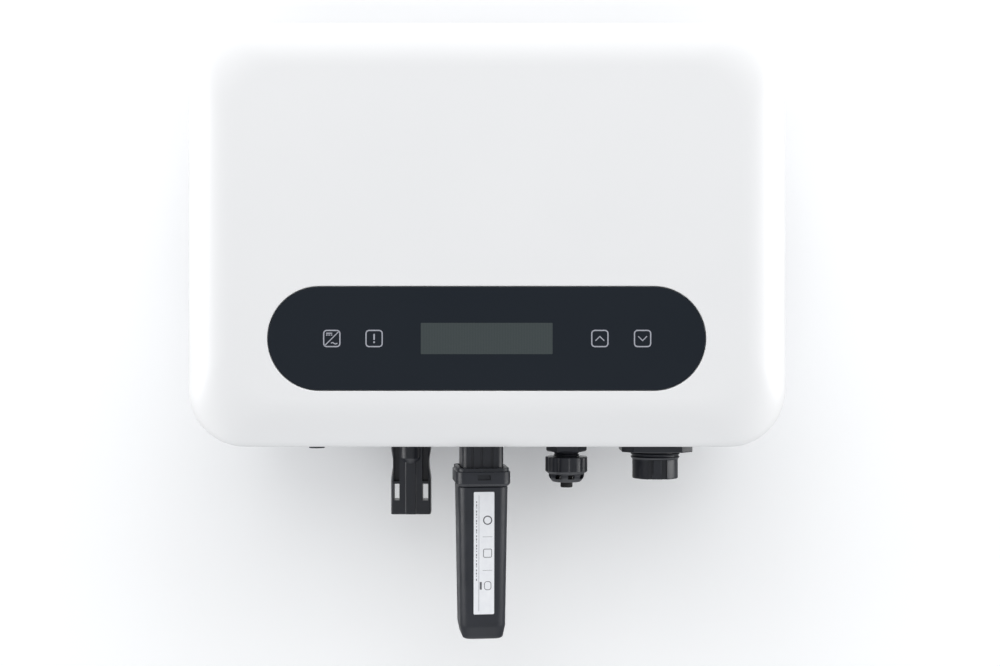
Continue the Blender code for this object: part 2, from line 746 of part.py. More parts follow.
def locknut(name, place, hole_r, finish, parent, height=5 * MM):
    """Hexagonal nut on a fitting's thread, inside the tray."""
    top = UNDERSIDE + TRAY_WALL + GAP
    nut = loft(name, [at_z(hexagon(2 * hole_r + 8 * MM), z) for z in (top, top + height)],
               finish, parent, place)
    bore = turned(name + "_bore", ((hole_r + GAP, top - MM), (hole_r + GAP, top + height + MM)),
                  finish, parent, place)
    cut(nut, bore)


def dc_socket(sign, x, parent):
    """Panel socket for a solar string lead, with windows that a plug's latches click into."""
    place = (x, ROW_Y, 0)
    widths = ((DC_WIDTH, FITTING_TOP), (DC_WIDTH, -110 * MM), (DC_WAIST, -114 * MM),
              (DC_WAIST, -118 * MM), (DC_WIDTH, -123.5 * MM), (DC_WIDTH, DC_END))
    rings = [at_z(rounded(width, DC_DEPTH, 1.5 * MM, 3), z) for width, z in widths]
    socket = loft(f"dc_socket_{sign}", rings, black_plastic(), parent, place)
    boss = turned(f"dc_boss_{sign}", ((5.95 * MM, FITTING_TOP), (5.95 * MM, -113.8 * MM),
                                      (3.5 * MM, -116.2 * MM)), black_plastic(), parent,
                  (x, ROW_Y - 2.5 * MM, 0))
    add(socket, boss)
    spigot = turned(f"dc_spigot_{sign}", ((DC_SPIGOT_R, -104 * MM), (DC_SPIGOT_R, -88 * MM)),
                    black_plastic(), parent, place)
    add(socket, spigot)
    slots = []
    for sx in (-1, 1):
        inner, outer = sorted((sx * 6.1 * MM, sx * 9.1 * MM))
        slots.append(((inner, -8 * MM, -125.4 * MM), (outer, -2 * MM, -104 * MM)))
        slots.append(((inner, 2 * MM, -125.4 * MM), (outer, 8 * MM, -104 * MM)))
        slots.append(((inner, -8 * MM, -135.6 * MM), (outer, 8 * MM, -126.8 * MM)))
    cut(socket, blocks(f"dc_slots_{sign}", slots, black_plastic(), parent, place))
    bore = turned(f"dc_bore_{sign}", ((DC_BORE_R, DC_END - MM), (DC_BORE_R, -86 * MM)),
                  black_plastic(), parent, place)
    cut(socket, bore)
    locknut(f"dc_locknut_{sign}", place, DC_SPIGOT_R, black_plastic(), parent)
    core = DC_BORE_R - GAP
    turned(f"dc_contact_{sign}", ((1.5 * MM, DC_END + 8 * MM), (1.8 * MM, DC_END + 9 * MM),
                                  (1.8 * MM, -104 * MM), (core, -104 * MM), (core, -92 * MM),
                                  (2.2 * MM, -92 * MM), (2.2 * MM, -84 * MM)),
           brass(), parent, place, 16)


def gland(unit):
    """Cable gland closed by a blanking pin: body, seal, pin and the nut that turns on it."""
    place = (GLAND_X, ROW_Y, 0)
    flange = [at_z(hexagon(GLAND_HEX), z) for z in (-110.2 * MM, FITTING_TOP)]
    body = loft("gland_body", flange, black_plastic(), unit, place)
    neck = turned("gland_neck", ((GLAND_NECK_R, -119 * MM), (GLAND_NECK_R, -105 * MM)),
                  black_plastic(), unit, place)
    add(body, neck)
    spigot = turned("gland_spigot", ((DC_SPIGOT_R, -104 * MM), (DC_SPIGOT_R, -91 * MM)),
                    black_plastic(), unit, place)
    add(body, spigot)
    bore = turned("gland_bore", ((5 * MM, -120 * MM), (5 * MM, -116 * MM), (GLAND_BORE_R, -112 * MM),
                                 (GLAND_BORE_R, -90 * MM)), black_plastic(), unit, place)
    cut(body, bore)
    locknut("gland_locknut", place, DC_SPIGOT_R, black_plastic(), unit)
    moving = empty("gland_axis", place, unit)
    hole = GLAND_PIN_R + GAP
    seal = ((hole, -115 * MM), (4.2 * MM, -115 * MM), (4.8 * MM, -119.3 * MM),
            (6.2 * MM, -119.3 * MM), (4.0 * MM, -123.4 * MM), (hole, -123.4 * MM))
    turned("gland_seal", seal, black_rubber(), moving, closed=True)
    turned("gland_pin", ((2.6 * MM, -129.2 * MM), (GLAND_PIN_R, -128.8 * MM),
                         (GLAND_PIN_R, -109 * MM), (2.6 * MM, -108.4 * MM)),
           black_rubber(), moving, segments=16)
    gland_nut(moving)


def fluted(radius, depth, lobes=9, steps=4):
    """Outline of a nut with shallow finger flutes."""
    points = []
    for n in range(lobes * steps):
        angle = math.tau * n / (lobes * steps)
        wave = 0.5 + 0.5 * math.cos(lobes * angle)
        points.append(((radius - depth * wave ** 2) * math.cos(angle),
                       (radius - depth * wave ** 2) * math.sin(angle)))
    return points


def gland_nut(parent):
    top, shoulder, end = GLAND_NUT_TOP, GLAND_NUT_SHOULDER, GLAND_NUT_END
    thread = GLAND_NECK_R + GAP
    count = 36
    rings = [at_z(fluted(GLAND_NUT_R, 0.7 * MM), top), at_z(fluted(GLAND_NUT_R, 0.7 * MM), shoulder),
             at_z(circle(9.4 * MM, count), shoulder - 0.8 * MM),
             at_z(circle(9.2 * MM, count), end + 1.6 * MM), at_z(circle(7.6 * MM, count), end),
             at_z(circle(GLAND_PIN_R + GAP, count), end),
             at_z(circle(GLAND_PIN_R + GAP, count), end + 1.6 * MM),
             at_z(circle(thread, count), shoulder + 1.2 * MM), at_z(circle(thread, count), top)]
    loft("gland_nut", rings, black_plastic(), parent, closed=True)


def chamfered(width, depth, corner):
    """A rectangle with its corners cut off, counter-clockwise."""
    points = []
    for sx, sy in ((1, 1), (-1, 1), (-1, -1), (1, -1)):
        side = (sx * width / 2, sy * (depth / 2 - corner))
        end = (sx * (width / 2 - corner), sy * depth / 2)
        points += [side, end] if sx * sy > 0 else [end, side]
    return points


def ac_socket(parent):
    """Round grid socket on a chamfered flange, with keyed ways down its front and back."""
    place = (AC_X, ROW_Y, 0)
    outline = chamfered(AC_FLANGE_WIDTH, AC_FLANGE_DEPTH, AC_FLANGE_CHAMFER)
    socket = loft("ac_socket", [at_z(outline, AC_FLANGE_END), at_z(outline, FITTING_TOP)],
                  black_plastic(), parent, place)
    profile = ((AC_BODY_R, AC_END), (AC_BODY_R, -113.8 * MM), (13 * MM, -113.6 * MM),
               (13 * MM, -111.9 * MM), (12.2 * MM, -111.7 * MM), (12.2 * MM, -105 * MM))
    add(socket, turned("ac_barrel", profile, black_plastic(), parent, place, 32))
    spigot = turned("ac_spigot", ((11 * MM, -104 * MM), (11 * MM, -88 * MM)), black_plastic(),
                    parent, place)
    add(socket, spigot)
    ways = [((-4.2 * MM, -14 * MM, AC_END - MM), (4.6 * MM, -10.2 * MM, -113.9 * MM)),
            ((-4.2 * MM, 10.2 * MM, AC_END - MM), (4.6 * MM, 14 * MM, -113.9 * MM))]
    cut(socket, blocks("ac_ways", ways, black_plastic(), parent, place))
    bore = turned("ac_bore", ((9 * MM, AC_END - MM), (9 * MM, -86 * MM)), black_plastic(),
                  parent, place)
    cut(socket, bore)
    insert = turned("ac_insert", ((8.7 * MM, -110 * MM), (8.7 * MM, -90 * MM), (7 * MM, -90 * MM),
                                  (7 * MM, -85 * MM)), black_plastic(), parent, place)
    bm = bmesh.new()
    for n in range(3):
        angle = math.radians(90 + 120 * n)
        hole = circle(1.8 * MM, 12, (4.6 * MM * math.cos(angle), 4.6 * MM * math.sin(angle)))
        skin(bm, [at_z(hole, -111 * MM), at_z(hole, -98 * MM)])
    cut(insert, object_from(bm, "ac_contact_holes", black_plastic(), parent, place))


def vent_valve(parent):
    """Breather that lets the housing's pressure even out."""
    profile = ((3.9 * MM, -108.4 * MM), (4.5 * MM, -107.8 * MM), (4.5 * MM, FITTING_TOP),
               (3 * MM, FITTING_TOP), (3 * MM, UNDERSIDE + TRAY_WALL + 2 * MM))
    valve = turned("vent_valve", profile, black_plastic(), parent, (VENT_X, ROW_Y, 0))
    slot = block("vent_slot", (-6 * MM, -0.7 * MM, -110 * MM), (6 * MM, 0.7 * MM, -106.4 * MM),
                 black_plastic(), parent, (VENT_X, ROW_Y, 0))
    cut(valve, slot)


# ---------------------------------------------------------------- dongle

def box_ring(size, inset, radius, z, segments=4):
    return at_z(rounded(size[0] - 2 * inset, size[1] - 2 * inset, radius, segments), z)


def dongle_port(parent):
    """Port under the unit: a hollow neck with a metal receptacle in it."""
    neck_inner = (17 * MM, 22 * MM)
    ceiling = -104 * MM
    rings = [box_ring(neck_inner, 0, 3 * MM, ceiling), box_ring(neck_inner, 0, 3 * MM, NECK_END),
             box_ring(NECK_SIZE, 0, 4 * MM, NECK_END), box_ring(NECK_SIZE, 0, 4 * MM, -104.2 * MM),
             box_ring((24 * MM, 28 * MM), 0, 6 * MM, -104.2 * MM),
             box_ring((24 * MM, 28 * MM), 0, 6 * MM, FITTING_TOP - GAP)]
    port = loft("dongle_port", rings, black_plastic(), parent)
    spigot = turned("port_spigot", ((8.7 * MM, -103 * MM), (8.7 * MM, -92 * MM)), black_plastic(),
                    parent)
    add(port, spigot)
    shell_top = ceiling - GAP
    shell_end = -116 * MM
    outer = (14.4 * MM, 7 * MM)
    inner = (13 * MM, 5.4 * MM)
    rings = [box_ring(inner, 0, 0.8 * MM, shell_top - MM, 2), box_ring(inner, 0, 0.8 * MM, shell_end, 2),
             box_ring(outer, 0, 1.2 * MM, shell_end, 2), box_ring(outer, 0, 1.2 * MM, shell_top, 2)]
    loft("port_receptacle", rings, bright_steel(), parent)


def dongle(parent):
    """Plug-in radio module: collar, case, plug, seal, board and a blank label."""
    inside = (NECK_SIZE[0] + 2 * GAP, NECK_SIZE[1] + 2 * GAP)
    floor = -122.6 * MM
    skirt = (CASE_TOP_SIZE[0] - 2 * CASE_WALL - 2 * GAP, CASE_TOP_SIZE[1] - 2 * CASE_WALL - 2 * GAP)
    shoulder = CASE_TOP + GAP
    rings = [box_ring(inside, 0, 4 * MM, floor), box_ring(inside, 0, 4 * MM, COLLAR_TOP),
             box_ring(COLLAR_SIZE, 0.6 * MM, 4.6 * MM, COLLAR_TOP),
             box_ring(COLLAR_SIZE, 0, 5 * MM, COLLAR_TOP - 0.6 * MM),
             box_ring(COLLAR_SIZE, 0, 5 * MM, COLLAR_END),
             box_ring(CASE_TOP_SIZE, 0, 5.6 * MM, shoulder),
             box_ring(skirt, 0, 4 * MM, shoulder), box_ring(skirt, 0.3 * MM, 4 * MM, -131 * MM)]
    collar = loft("dongle_collar", rings, black_plastic(), parent)
    latch = block("latch_window", (-3.2 * MM, -18 * MM, -121.1 * MM), (3.2 * MM, -12 * MM, -118.3 * MM),
                  black_plastic(), parent)
    cut(collar, latch)
    plug_hole = block("plug_hole", (-6.5 * MM, -2.7 * MM, -132 * MM), (6.5 * MM, 2.7 * MM, -121 * MM),
                      black_plastic(), parent)
    cut(collar, plug_hole)

    hollow_end = CASE_END + 2 * MM
    rings = [box_ring(CASE_END_SIZE, CASE_WALL, 4 * MM, hollow_end),
             box_ring(CASE_TOP_SIZE, CASE_WALL, 4.4 * MM, CASE_TOP),
             box_ring(CASE_TOP_SIZE, 0, 6 * MM, CASE_TOP),
             box_ring(CASE_END_SIZE, 0, 5.6 * MM, CASE_END + 5.6 * MM),
             box_ring(CASE_END_SIZE, 0.9 * MM, 5 * MM, CASE_END + 1.6 * MM),
             box_ring(CASE_END_SIZE, 2.6 * MM, 3.6 * MM, CASE_END)]
    loft("dongle_case", rings, black_plastic(), parent)

    drop = CASE_TOP - CASE_END - 5.6 * MM
    lean = math.atan2((CASE_TOP_SIZE[1] - CASE_END_SIZE[1]) / 2, drop)
    middle = LABEL_TOP - LABEL_SIZE[1] / 2
    half_depth = CASE_TOP_SIZE[1] / 2 - (CASE_TOP - middle) * math.tan(lean)
    outline = rounded(LABEL_SIZE[0], LABEL_SIZE[1], 0.6 * MM, 2)
    loft("dongle_label", [at_y(outline, -0.3 * MM), at_y(outline, -0.1 * MM)], label_paper(), parent,
         (0, -half_depth, middle), rotation=(lean, 0, 0))

    seal_outer = (NECK_SIZE[0], NECK_SIZE[1])
    rings = [box_ring(seal_outer, 0.2 * MM, 3.8 * MM, floor + GAP),
             box_ring(seal_outer, 0.2 * MM, 3.8 * MM, NECK_END - GAP),
             box_ring(seal_outer, 2 * MM, 2.4 * MM, NECK_END - GAP),
             box_ring(seal_outer, 2 * MM, 2.4 * MM, floor + GAP)]
    loft("dongle_seal", rings, black_rubber(), parent, closed=True)

    plug_outer = (12.4 * MM, 4.8 * MM)
    plug_inner = (11.6 * MM, 4 * MM)
    rings = [box_ring(plug_inner, 0, 0.5 * MM, -125 * MM, 2), box_ring(plug_inner, 0, 0.5 * MM, -106 * MM, 2),
             box_ring(plug_outer, 0, 0.8 * MM, -106 * MM, 2), box_ring(plug_outer, 0, 0.8 * MM, -134 * MM, 2)]
    loft("dongle_plug", rings, bright_steel(), parent)
    block("dongle_board", (-8.5 * MM, -0.6 * MM, -194 * MM), (8.5 * MM, 0.6 * MM, -134.4 * MM),
          circuit_board(), parent)


# ---------------------------------------------------------------- electronics

def coil_core(name, place, outer_r, inner_r, depth, finish, parent):
    """A wound ring core lying on the main board, with a soft outer edge."""
    front = BOARD_FRONT_Y - GAP - depth
    rear = BOARD_FRONT_Y - GAP
    edge = 3 * MM
    profile = ((outer_r - edge, rear), (outer_r, rear - edge), (outer_r, front + edge),
               (outer_r - edge, front), (inner_r + edge, front), (inner_r, front + edge),
               (inner_r, rear - edge), (inner_r + edge, rear))
    rings = [at_y(circle(radius, 20), y) for radius, y in profile]
    loft(name, rings, finish, parent, (place[0], 0, place[1]), closed=True)


def standing_block(name, place, size, finish, parent, bevel=1 * MM):
    """A box on the main board, given by its middle, its width, height and depth."""
    half_w = size[0] / 2
    half_h = size[1] / 2
    rear = BOARD_FRONT_Y - GAP
    made = block(name, (-half_w, rear - size[2], -half_h), (half_w, rear, half_h), finish, parent,
                 (place[0], 0, place[1]))
    soften(made, bevel)


def electronics(parent):
    block("main_board", (-116 * MM, BOARD_FRONT_Y, -74 * MM), (116 * MM, BOARD_REAR_Y, 80 * MM),
          circuit_board(), parent)
    pad_far = BASE_FRONT_Y - GAP
    block("thermal_pad", (-38 * MM, pad_far - 0.5 * MM, -8 * MM), (38 * MM, pad_far, 28 * MM),
          clear_plastic(), parent)
    module_far = pad_far - 0.8 * MM
    block("power_module", (-36 * MM, module_far - 8 * MM, -6 * MM), (36 * MM, module_far, 26 * MM),
          black_plastic(), parent)
    for number, z in enumerate((56 * MM, 26 * MM), 1):
        rear = BOARD_FRONT_Y - GAP
        profile = ((12.5 * MM, rear), (12.5 * MM, rear - 39 * MM), (11.5 * MM, rear - 40 * MM))
        rings = [at_y(circle(radius, 20), y) for radius, y in profile]
        loft(f"dc_link_capacitor_{number}", rings, capacitor_sleeve(), parent, (-94 * MM, 0, z))
    coil_core("boost_inductor", (-46 * MM, 44 * MM), 26 * MM, 9 * MM, 26 * MM, copper_winding(), parent)
    coil_core("output_inductor", (20 * MM, 44 * MM), 26 * MM, 9 * MM, 26 * MM, copper_winding(), parent)
    coil_core("ac_choke", (84 * MM, -30 * MM), 17 * MM, 6 * MM, 18 * MM, ferrite(), parent)
    standing_block("grid_relay", (84 * MM, 12 * MM), (30 * MM, 24 * MM, 24 * MM), moulded_blue(), parent)
    standing_block("aux_transformer", (84 * MM, 52 * MM), (26 * MM, 22 * MM, 22 * MM), ferrite(), parent)
    standing_block("control_board", (4 * MM, -20 * MM), (110 * MM, 1.6 * MM, 40 * MM), circuit_board(),
                   parent, 0.2 * MM)


def leads(parent, display_board_near):
    """Wires between the sockets and the boards, fixed inside the housing."""
    board = BOARD_FRONT_Y / MM - 0.8
    row = ROW_Y / MM
    for sign, x, finish in (("positive", DC_POSITIVE_X / MM, red_lead()),
                            ("negative", DC_NEGATIVE_X / MM, black_rubber())):
        route = ((x, row, -82.8), (x, row - 1, -80.5), (x - 2, row - 13, -75), (x - 4, row - 14, -64),
                 (x - 5, board - 4, -54), (x - 5, board, -54))
        lead(f"dc_lead_{sign}", route, 1.8 * MM, finish, parent)
    x = AC_X / MM
    route = ((x, row, -84), (x, row - 1, -82), (x - 2, row - 14, -77), (x - 6, row - 19, -66),
             (x - 22, row - 18, -54), (x - 24, board - 7, -52), (x - 24, board - 1, -52))
    lead("ac_lead", route, 3 * MM, black_rubber(), parent)
    start = (display_board_near + 1.6 * MM) / MM + 0.5
    route = ((-20, start, -52), (-20, start + 4, -52), (-22, start + 14, -46), (-24, -86, -34),
             (-24, -72, -30), (-24, board - 6, -30), (-24, board, -30))
    lead("display_lead", route, 1.5 * MM, black_rubber(), parent)


def build():
    clear_scene()
    wall_bracket()
    unit = empty("unit_frame", (0, 0, BODY_CENTRE_Z))
    dongle_frame = empty("dongle_frame", (DONGLE_X, DONGLE_Y, 0), unit, DONGLE_TURN)
    front_cover(unit)
    cover_screws(unit)
    cover_gasket(unit)
    display_board_near = display(unit)
    rear_housing(unit)
    earth_screw(unit)
    hanging_rail(unit)
    lock_screw(unit)
    dc_socket("positive", DC_POSITIVE_X, unit)
    dc_socket("negative", DC_NEGATIVE_X, unit)
    gland(unit)
    ac_socket(unit)
    vent_valve(unit)
    dongle_port(dongle_frame)
    dongle(dongle_frame)
    electronics(unit)
    leads(unit, display_board_near)


build()
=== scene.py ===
"""The looks of a small wall-mounted string inverter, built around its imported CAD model.

Sizes are in metres, written in millimetres times MM or through mm(). A fitting is modelled about
its own upright axis, and its heights are measured from the middle of the unit's body.
"""

import json
import math

import bmesh
import bpy
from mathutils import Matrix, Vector


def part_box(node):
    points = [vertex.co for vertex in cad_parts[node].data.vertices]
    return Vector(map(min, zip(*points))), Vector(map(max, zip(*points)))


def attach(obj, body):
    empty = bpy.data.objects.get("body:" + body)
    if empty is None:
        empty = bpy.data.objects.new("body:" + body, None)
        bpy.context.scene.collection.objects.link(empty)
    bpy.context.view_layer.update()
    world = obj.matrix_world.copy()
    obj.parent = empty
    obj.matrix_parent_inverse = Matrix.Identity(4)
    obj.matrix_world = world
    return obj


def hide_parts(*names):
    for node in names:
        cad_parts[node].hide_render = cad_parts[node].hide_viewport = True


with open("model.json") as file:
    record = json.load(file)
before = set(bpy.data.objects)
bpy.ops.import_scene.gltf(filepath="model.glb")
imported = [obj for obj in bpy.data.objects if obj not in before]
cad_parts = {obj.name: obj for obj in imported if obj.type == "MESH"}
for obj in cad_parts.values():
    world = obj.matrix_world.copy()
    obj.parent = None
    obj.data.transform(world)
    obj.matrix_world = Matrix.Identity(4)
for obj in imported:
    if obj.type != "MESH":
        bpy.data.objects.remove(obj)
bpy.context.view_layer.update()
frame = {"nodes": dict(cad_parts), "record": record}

MM = 0.001
GAP = 0.3 * MM


def mm(*values):
    """Millimetres as metres."""
    return tuple(value * MM for value in values)


def middle(node):
    """Centre of a CAD node's box."""
    low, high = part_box(node)
    return (low + high) / 2


def size(node):
    low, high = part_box(node)
    return high - low


UNIT = Vector((0, 0, middle("front_cover").z))

# Front cover: the rounding's reach from the side and from the face, its wall, the window's pocket.
ROUND_INSET, ROUND_DEPTH = mm(24, 22)
ROUND_STEPS = 22
BODY_CORNER, FACE_CORNER = mm(27.5, 24)
CORNER_STEPS = 24
COVER_WALL, COVER_LIP = mm(3.2, 3)
POCKET_DEPTH, LIP_FILLET, SEAL_WIDTH = mm(2, 0.5, 3)

# Rear housing.
TRAY_WIDTH, TRAY_HEIGHT, TRAY_CORNER, TRAY_WALL = mm(279, 202.4, 40, 3)
FLANGE_FRONT_Y, FLANGE_REAR_Y = mm(-86, -82)
BASE_FRONT_Y, BASE_REAR_Y = mm(-26, -22)
FIN_COUNT = 23
FIN_PITCH, FIN_THICK, FIN_TIP_THICK, FIN_SLOPE = mm(10, 2.4, 1.7, 8)
FIN_TIP_Y, PAD_Y = mm(-3, -13.5)

# The fins are shorter in a pocket for the bracket and the rail.
POCKET_Y, POCKET_HALF_WIDTH, POCKET_LOW, POCKET_HIGH = mm(-14.2, 86, -15, 66)

# Bracket, rail and screws.
SHEET, TONGUE_X = mm(2, 45)
SCREW_SHANK_R, SCREW_HOLE_R = mm(2, 2.3)

# Fittings under the unit; heights are from the body's middle.
UNDERSIDE = -TRAY_HEIGHT / 2
FITTING_TOP = UNDERSIDE - GAP
SPIGOT_R, SPIGOT_TOP, SPIGOT_FOOT = mm(6.2, -88, -104)

# Camera and light.
CAMERA_PLACE = mm(6.3, -808, -67.6)
CAMERA_LENS = 52.2
WALL_Y = 0.3 * MM


# ---- outlines and solids

def filleted(points, radius, steps=4, closed=False):
    """A run of 2-D points with rounded corners. A third number in a point is its own radius."""
    made = []
    count = len(points)
    for n, point in enumerate(points):
        here = Vector(point[:2])
        if not closed and n in (0, count - 1):
            made.append(here)
            continue
        before = Vector(points[n - 1][:2]) - here
        after = Vector(points[(n + 1) % count][:2]) - here
        wanted = point[2] if len(point) > 2 else radius
        half_angle = before.angle(after) / 2
        reach = min(wanted / math.tan(half_angle), before.length * 0.49, after.length * 0.49)
        if reach < 0.01 * MM:
            made.append(here)
            continue
        start = here + before.normalized() * reach
        end = here + after.normalized() * reach
        for step in range(steps + 1):
            t = step / steps
            made.append(start * (1 - t) ** 2 + here * 2 * t * (1 - t) + end * t ** 2)
    return [(p.x, p.y) for p in made]


def rounded(width, height, radius, steps=CORNER_STEPS, centre=(0, 0)):
    """Points of a rounded rectangle, counter-clockwise."""
    points = []
    for quarter, (sx, sy) in enumerate(((1, 1), (-1, 1), (-1, -1), (1, -1))):
        cx = centre[0] + sx * (width / 2 - radius)
        cy = centre[1] + sy * (height / 2 - radius)
        for n in range(steps + 1):
            angle = math.radians(90) * (quarter + n / steps)
            points.append((cx + radius * math.cos(angle), cy + radius * math.sin(angle)))
    return points


def circle(radius, count=64, centre=(0, 0), turn=0.0):
    """Points of a circle, or of a regular polygon where the count is small."""
    angles = [math.tau * n / count + turn for n in range(count)]
    return [(centre[0] + radius * math.cos(a), centre[1] + radius * math.sin(a)) for a in angles]


def scaled(outline, factor):
    return [(u * factor, v * factor) for u, v in outline]


def strip(path, thickness, bend=0.0, steps=6):
    """Outline of a band of even thickness along a path, with rounded bends."""
    line = [Vector(point) for point in (filleted(path, bend, steps) if bend else path)]
    left, right = [], []
    for n, point in enumerate(line):
        before = (point - line[n - 1]).normalized() if n else None
        after = (line[n + 1] - point).normalized() if n < len(line) - 1 else None
        along = ((before or after) + (after or before)).normalized()
        across = Vector((-along.y, along.x))
        half = thickness / 2 / max(0.5, along.dot(after or before))
        left.append(tuple(point + across * half))
        right.append(tuple(point - across * half))
    return left + right[::-1]


def at_x(outline, x):
    return [(x, u, v) for u, v in outline]


def at_y(outline, y):
    return [(u, y, v) for u, v in outline]


def at_z(outline, z):
    return [(u, v, z) for u, v in outline]


def bar(at, outline, near, far):
    """The two end rings of a straight bar along X, Y or Z."""
    return [at(outline, near), at(outline, far)]


def skin(bm, rings, closed=False):
    """Join rings of equal point count, capping the ends or joining the last to the first."""
    loops = [[bm.verts.new(point) for point in ring] for ring in rings]
    pairs = list(zip(loops, loops[1:]))
    if closed:
        pairs.append((loops[-1], loops[0]))
    else:
        bm.faces.new(loops[0])
        bm.faces.new(loops[-1])
    for first, second in pairs:
        count = len(first)
        for n in range(count):
            m = (n + 1) % count
            bm.faces.new((first[n], first[m], second[m], second[n]))


def object_from(bm, name="solid"):
    mesh = bpy.data.meshes.new(name)
    bm.to_mesh(mesh)
    bm.free()
    made = bpy.data.objects.new(name, mesh)
    bpy.context.scene.collection.objects.link(made)
    return made


def solid(*bodies, closed=False):
    """An object of one or more bodies, each a list of rings."""
    bm = bmesh.new()
    for rings in bodies:
        skin(bm, rings, closed)
    bmesh.ops.recalc_face_normals(bm, faces=bm.faces)
    if bm.calc_volume(signed=True) < 0:
        bmesh.ops.reverse_faces(bm, faces=bm.faces)
    return object_from(bm)


def turned(profile, count=64, centre=(0, 0)):
    """Rings of a round body about Z from (radius, height) pairs."""
    return [at_z(circle(radius, count, centre), height) for radius, height in profile]


def box(low, high):
    outline = [(low[0], low[1]), (high[0], low[1]), (high[0], high[1]), (low[0], high[1])]
    return [at_z(outline, low[2]), at_z(outline, high[2])]


def box_rings(size_xy, corner, profile, steps=8):
    """Rings of a rounded box from (inset, height) pairs."""
    rings = []
    for inset, height in profile:
        outline = rounded(size_xy[0] - 2 * inset, size_xy[1] - 2 * inset,
                          max(corner - inset, 0.3 * MM), steps)
        rings.append(at_z(outline, height))
    return rings


def baked(obj):
    """Make an object's modifiers part of its mesh."""
    graph = bpy.context.evaluated_depsgraph_get()
    mesh = bpy.data.meshes.new_from_object(obj.evaluated_get(graph))
    obj.modifiers.clear()
    obj.data = mesh


def combine(target, operation, tools):
    for tool in tools:
        change = target.modifiers.new("shape", "BOOLEAN")
        change.operation = operation
        change.solver = "EXACT"
        change.object = tool
        baked(target)
        bpy.data.objects.remove(tool)


def cut(target, *tools):
    combine(target, "DIFFERENCE", tools)


def join(target, *tools):
    combine(target, "UNION", tools)


def soften(obj, width, angle=40):
    """Merge the flat faces and round the sharp edges."""
    bm = bmesh.new()
    bm.from_mesh(obj.data)
    nearby, flat = 0.005 * MM, math.radians(0.5)
    bmesh.ops.remove_doubles(bm, verts=bm.verts, dist=nearby)
    bmesh.ops.dissolve_limit(bm, angle_limit=flat, verts=bm.verts, edges=bm.edges)
    bm.to_mesh(obj.data)
    bm.free()
    bevel = obj.modifiers.new("edges", "BEVEL")
    bevel.width = width
    bevel.segments = 2
    bevel.limit_method = "ANGLE"
    bevel.angle_limit = math.radians(angle)
    bevel.use_clamp_overlap = False
    baked(obj)


def smooth(obj):
    """Shade smooth between sharp edges, with flat faces kept flat."""
    obj.data.shade_smooth()
    obj.data.set_sharp_from_angle(angle=math.radians(38))
    weighting = obj.modifiers.new("normals", "WEIGHTED_NORMAL")
    weighting.keep_sharp = True
    baked(obj)


# ---- materials

class Finish:
    """A procedural material: one Principled shader, and textures in the object's own space.

    A texture is given as its kind, its scale and what else that kind takes.
    """

    def __init__(self, name, roughness, metallic=0.0, specular=0.5):
        self.material = bpy.data.materials.new(name)
        self.material.use_nodes = True
        self.nodes = self.material.node_tree.nodes
        self.links = self.material.node_tree.links
        self.shader = self.nodes["Principled BSDF"]
        self.place = self.nodes.new("ShaderNodeTexCoord").outputs["Object"]
        self.shader.inputs["Roughness"].default_value = roughness
        self.shader.inputs["Metallic"].default_value = metallic
        self.shader.inputs["Specular IOR Level"].default_value = specular

    def placed(self, kind, scale, stretch=None):
        """A texture node at a scale, stretched along the object's axes if asked."""
        texture = self.nodes.new(kind)
        texture.inputs["Scale"].default_value = scale
        place = self.place
        if stretch:
            mapping = self.nodes.new("ShaderNodeMapping")
            mapping.inputs["Scale"].default_value = stretch
            self.links.new(place, mapping.inputs["Vector"])
            place = mapping.outputs["Vector"]
        self.links.new(place, texture.inputs["Vector"])
        return texture

    def noise(self, scale, detail=3.0, stretch=None):
        texture = self.placed("ShaderNodeTexNoise", scale, stretch)
        texture.inputs["Detail"].default_value = detail
        return texture.outputs["Fac"]

    def cells(self, scale, output="Color"):
        return self.placed("ShaderNodeTexVoronoi", scale).outputs[output]

    def waves(self, scale, direction, distortion=0.0):
        texture = self.placed("ShaderNodeTexWave", scale)
        texture.bands_direction = direction
        texture.inputs["Distortion"].default_value = distortion
        return texture.outputs["Fac"]

    def value(self, texture):
        kind, *settings = texture
        return {"noise": self.noise, "cells": self.cells, "waves": self.waves}[kind](*settings)

    def coloured(self, texture, first, second, start=0.3, end=0.7):
        """From the first colour where the texture is at its start to the second at its end."""
        ramp = self.nodes.new("ShaderNodeValToRGB")
        for stop, position, colour in zip(ramp.color_ramp.elements, (start, end), (first, second)):
            stop.position = position
            stop.color = (*colour, 1.0)
        self.shader.inputs["Base Color"].default_value = (*first, 1.0)
        self.links.new(self.value(texture), ramp.inputs["Fac"])
        self.links.new(ramp.outputs["Color"], self.shader.inputs["Base Color"])

    def rough(self, texture, low, high):
        spread = self.nodes.new("ShaderNodeMapRange")
        for socket, number in (("From Min", 0.3), ("From Max", 0.7), ("To Min", low), ("To Max", high)):
            spread.inputs[socket].default_value = number
        self.links.new(self.value(texture), spread.inputs["Value"])
        self.links.new(spread.outputs["Result"], self.shader.inputs["Roughness"])

    def bump(self, texture, distance):
        bump = self.nodes.new("ShaderNodeBump")
        bump.inputs["Strength"].default_value = 1.0
        bump.inputs["Distance"].default_value = distance
        self.links.new(self.value(texture), bump.inputs["Height"])
        self.links.new(bump.outputs["Normal"], self.shader.inputs["Normal"])


def finish(name, shader, tone, gloss=None, relief=None):
    made = Finish(name, *shader)
    made.coloured(*tone)
    if gloss:
        made.rough(*gloss)
    if relief:
        made.bump(*relief)
    return made.material


def moulded(colour, lighter, roughness):
    """The look of moulded plastic: a fine spark texture and slightly uneven gloss."""
    return ((roughness,), (("noise", 70, 4.0), colour, lighter),
            (("noise", 160), roughness - 0.06, roughness + 0.08), (("noise", 2600), 0.02 * MM))


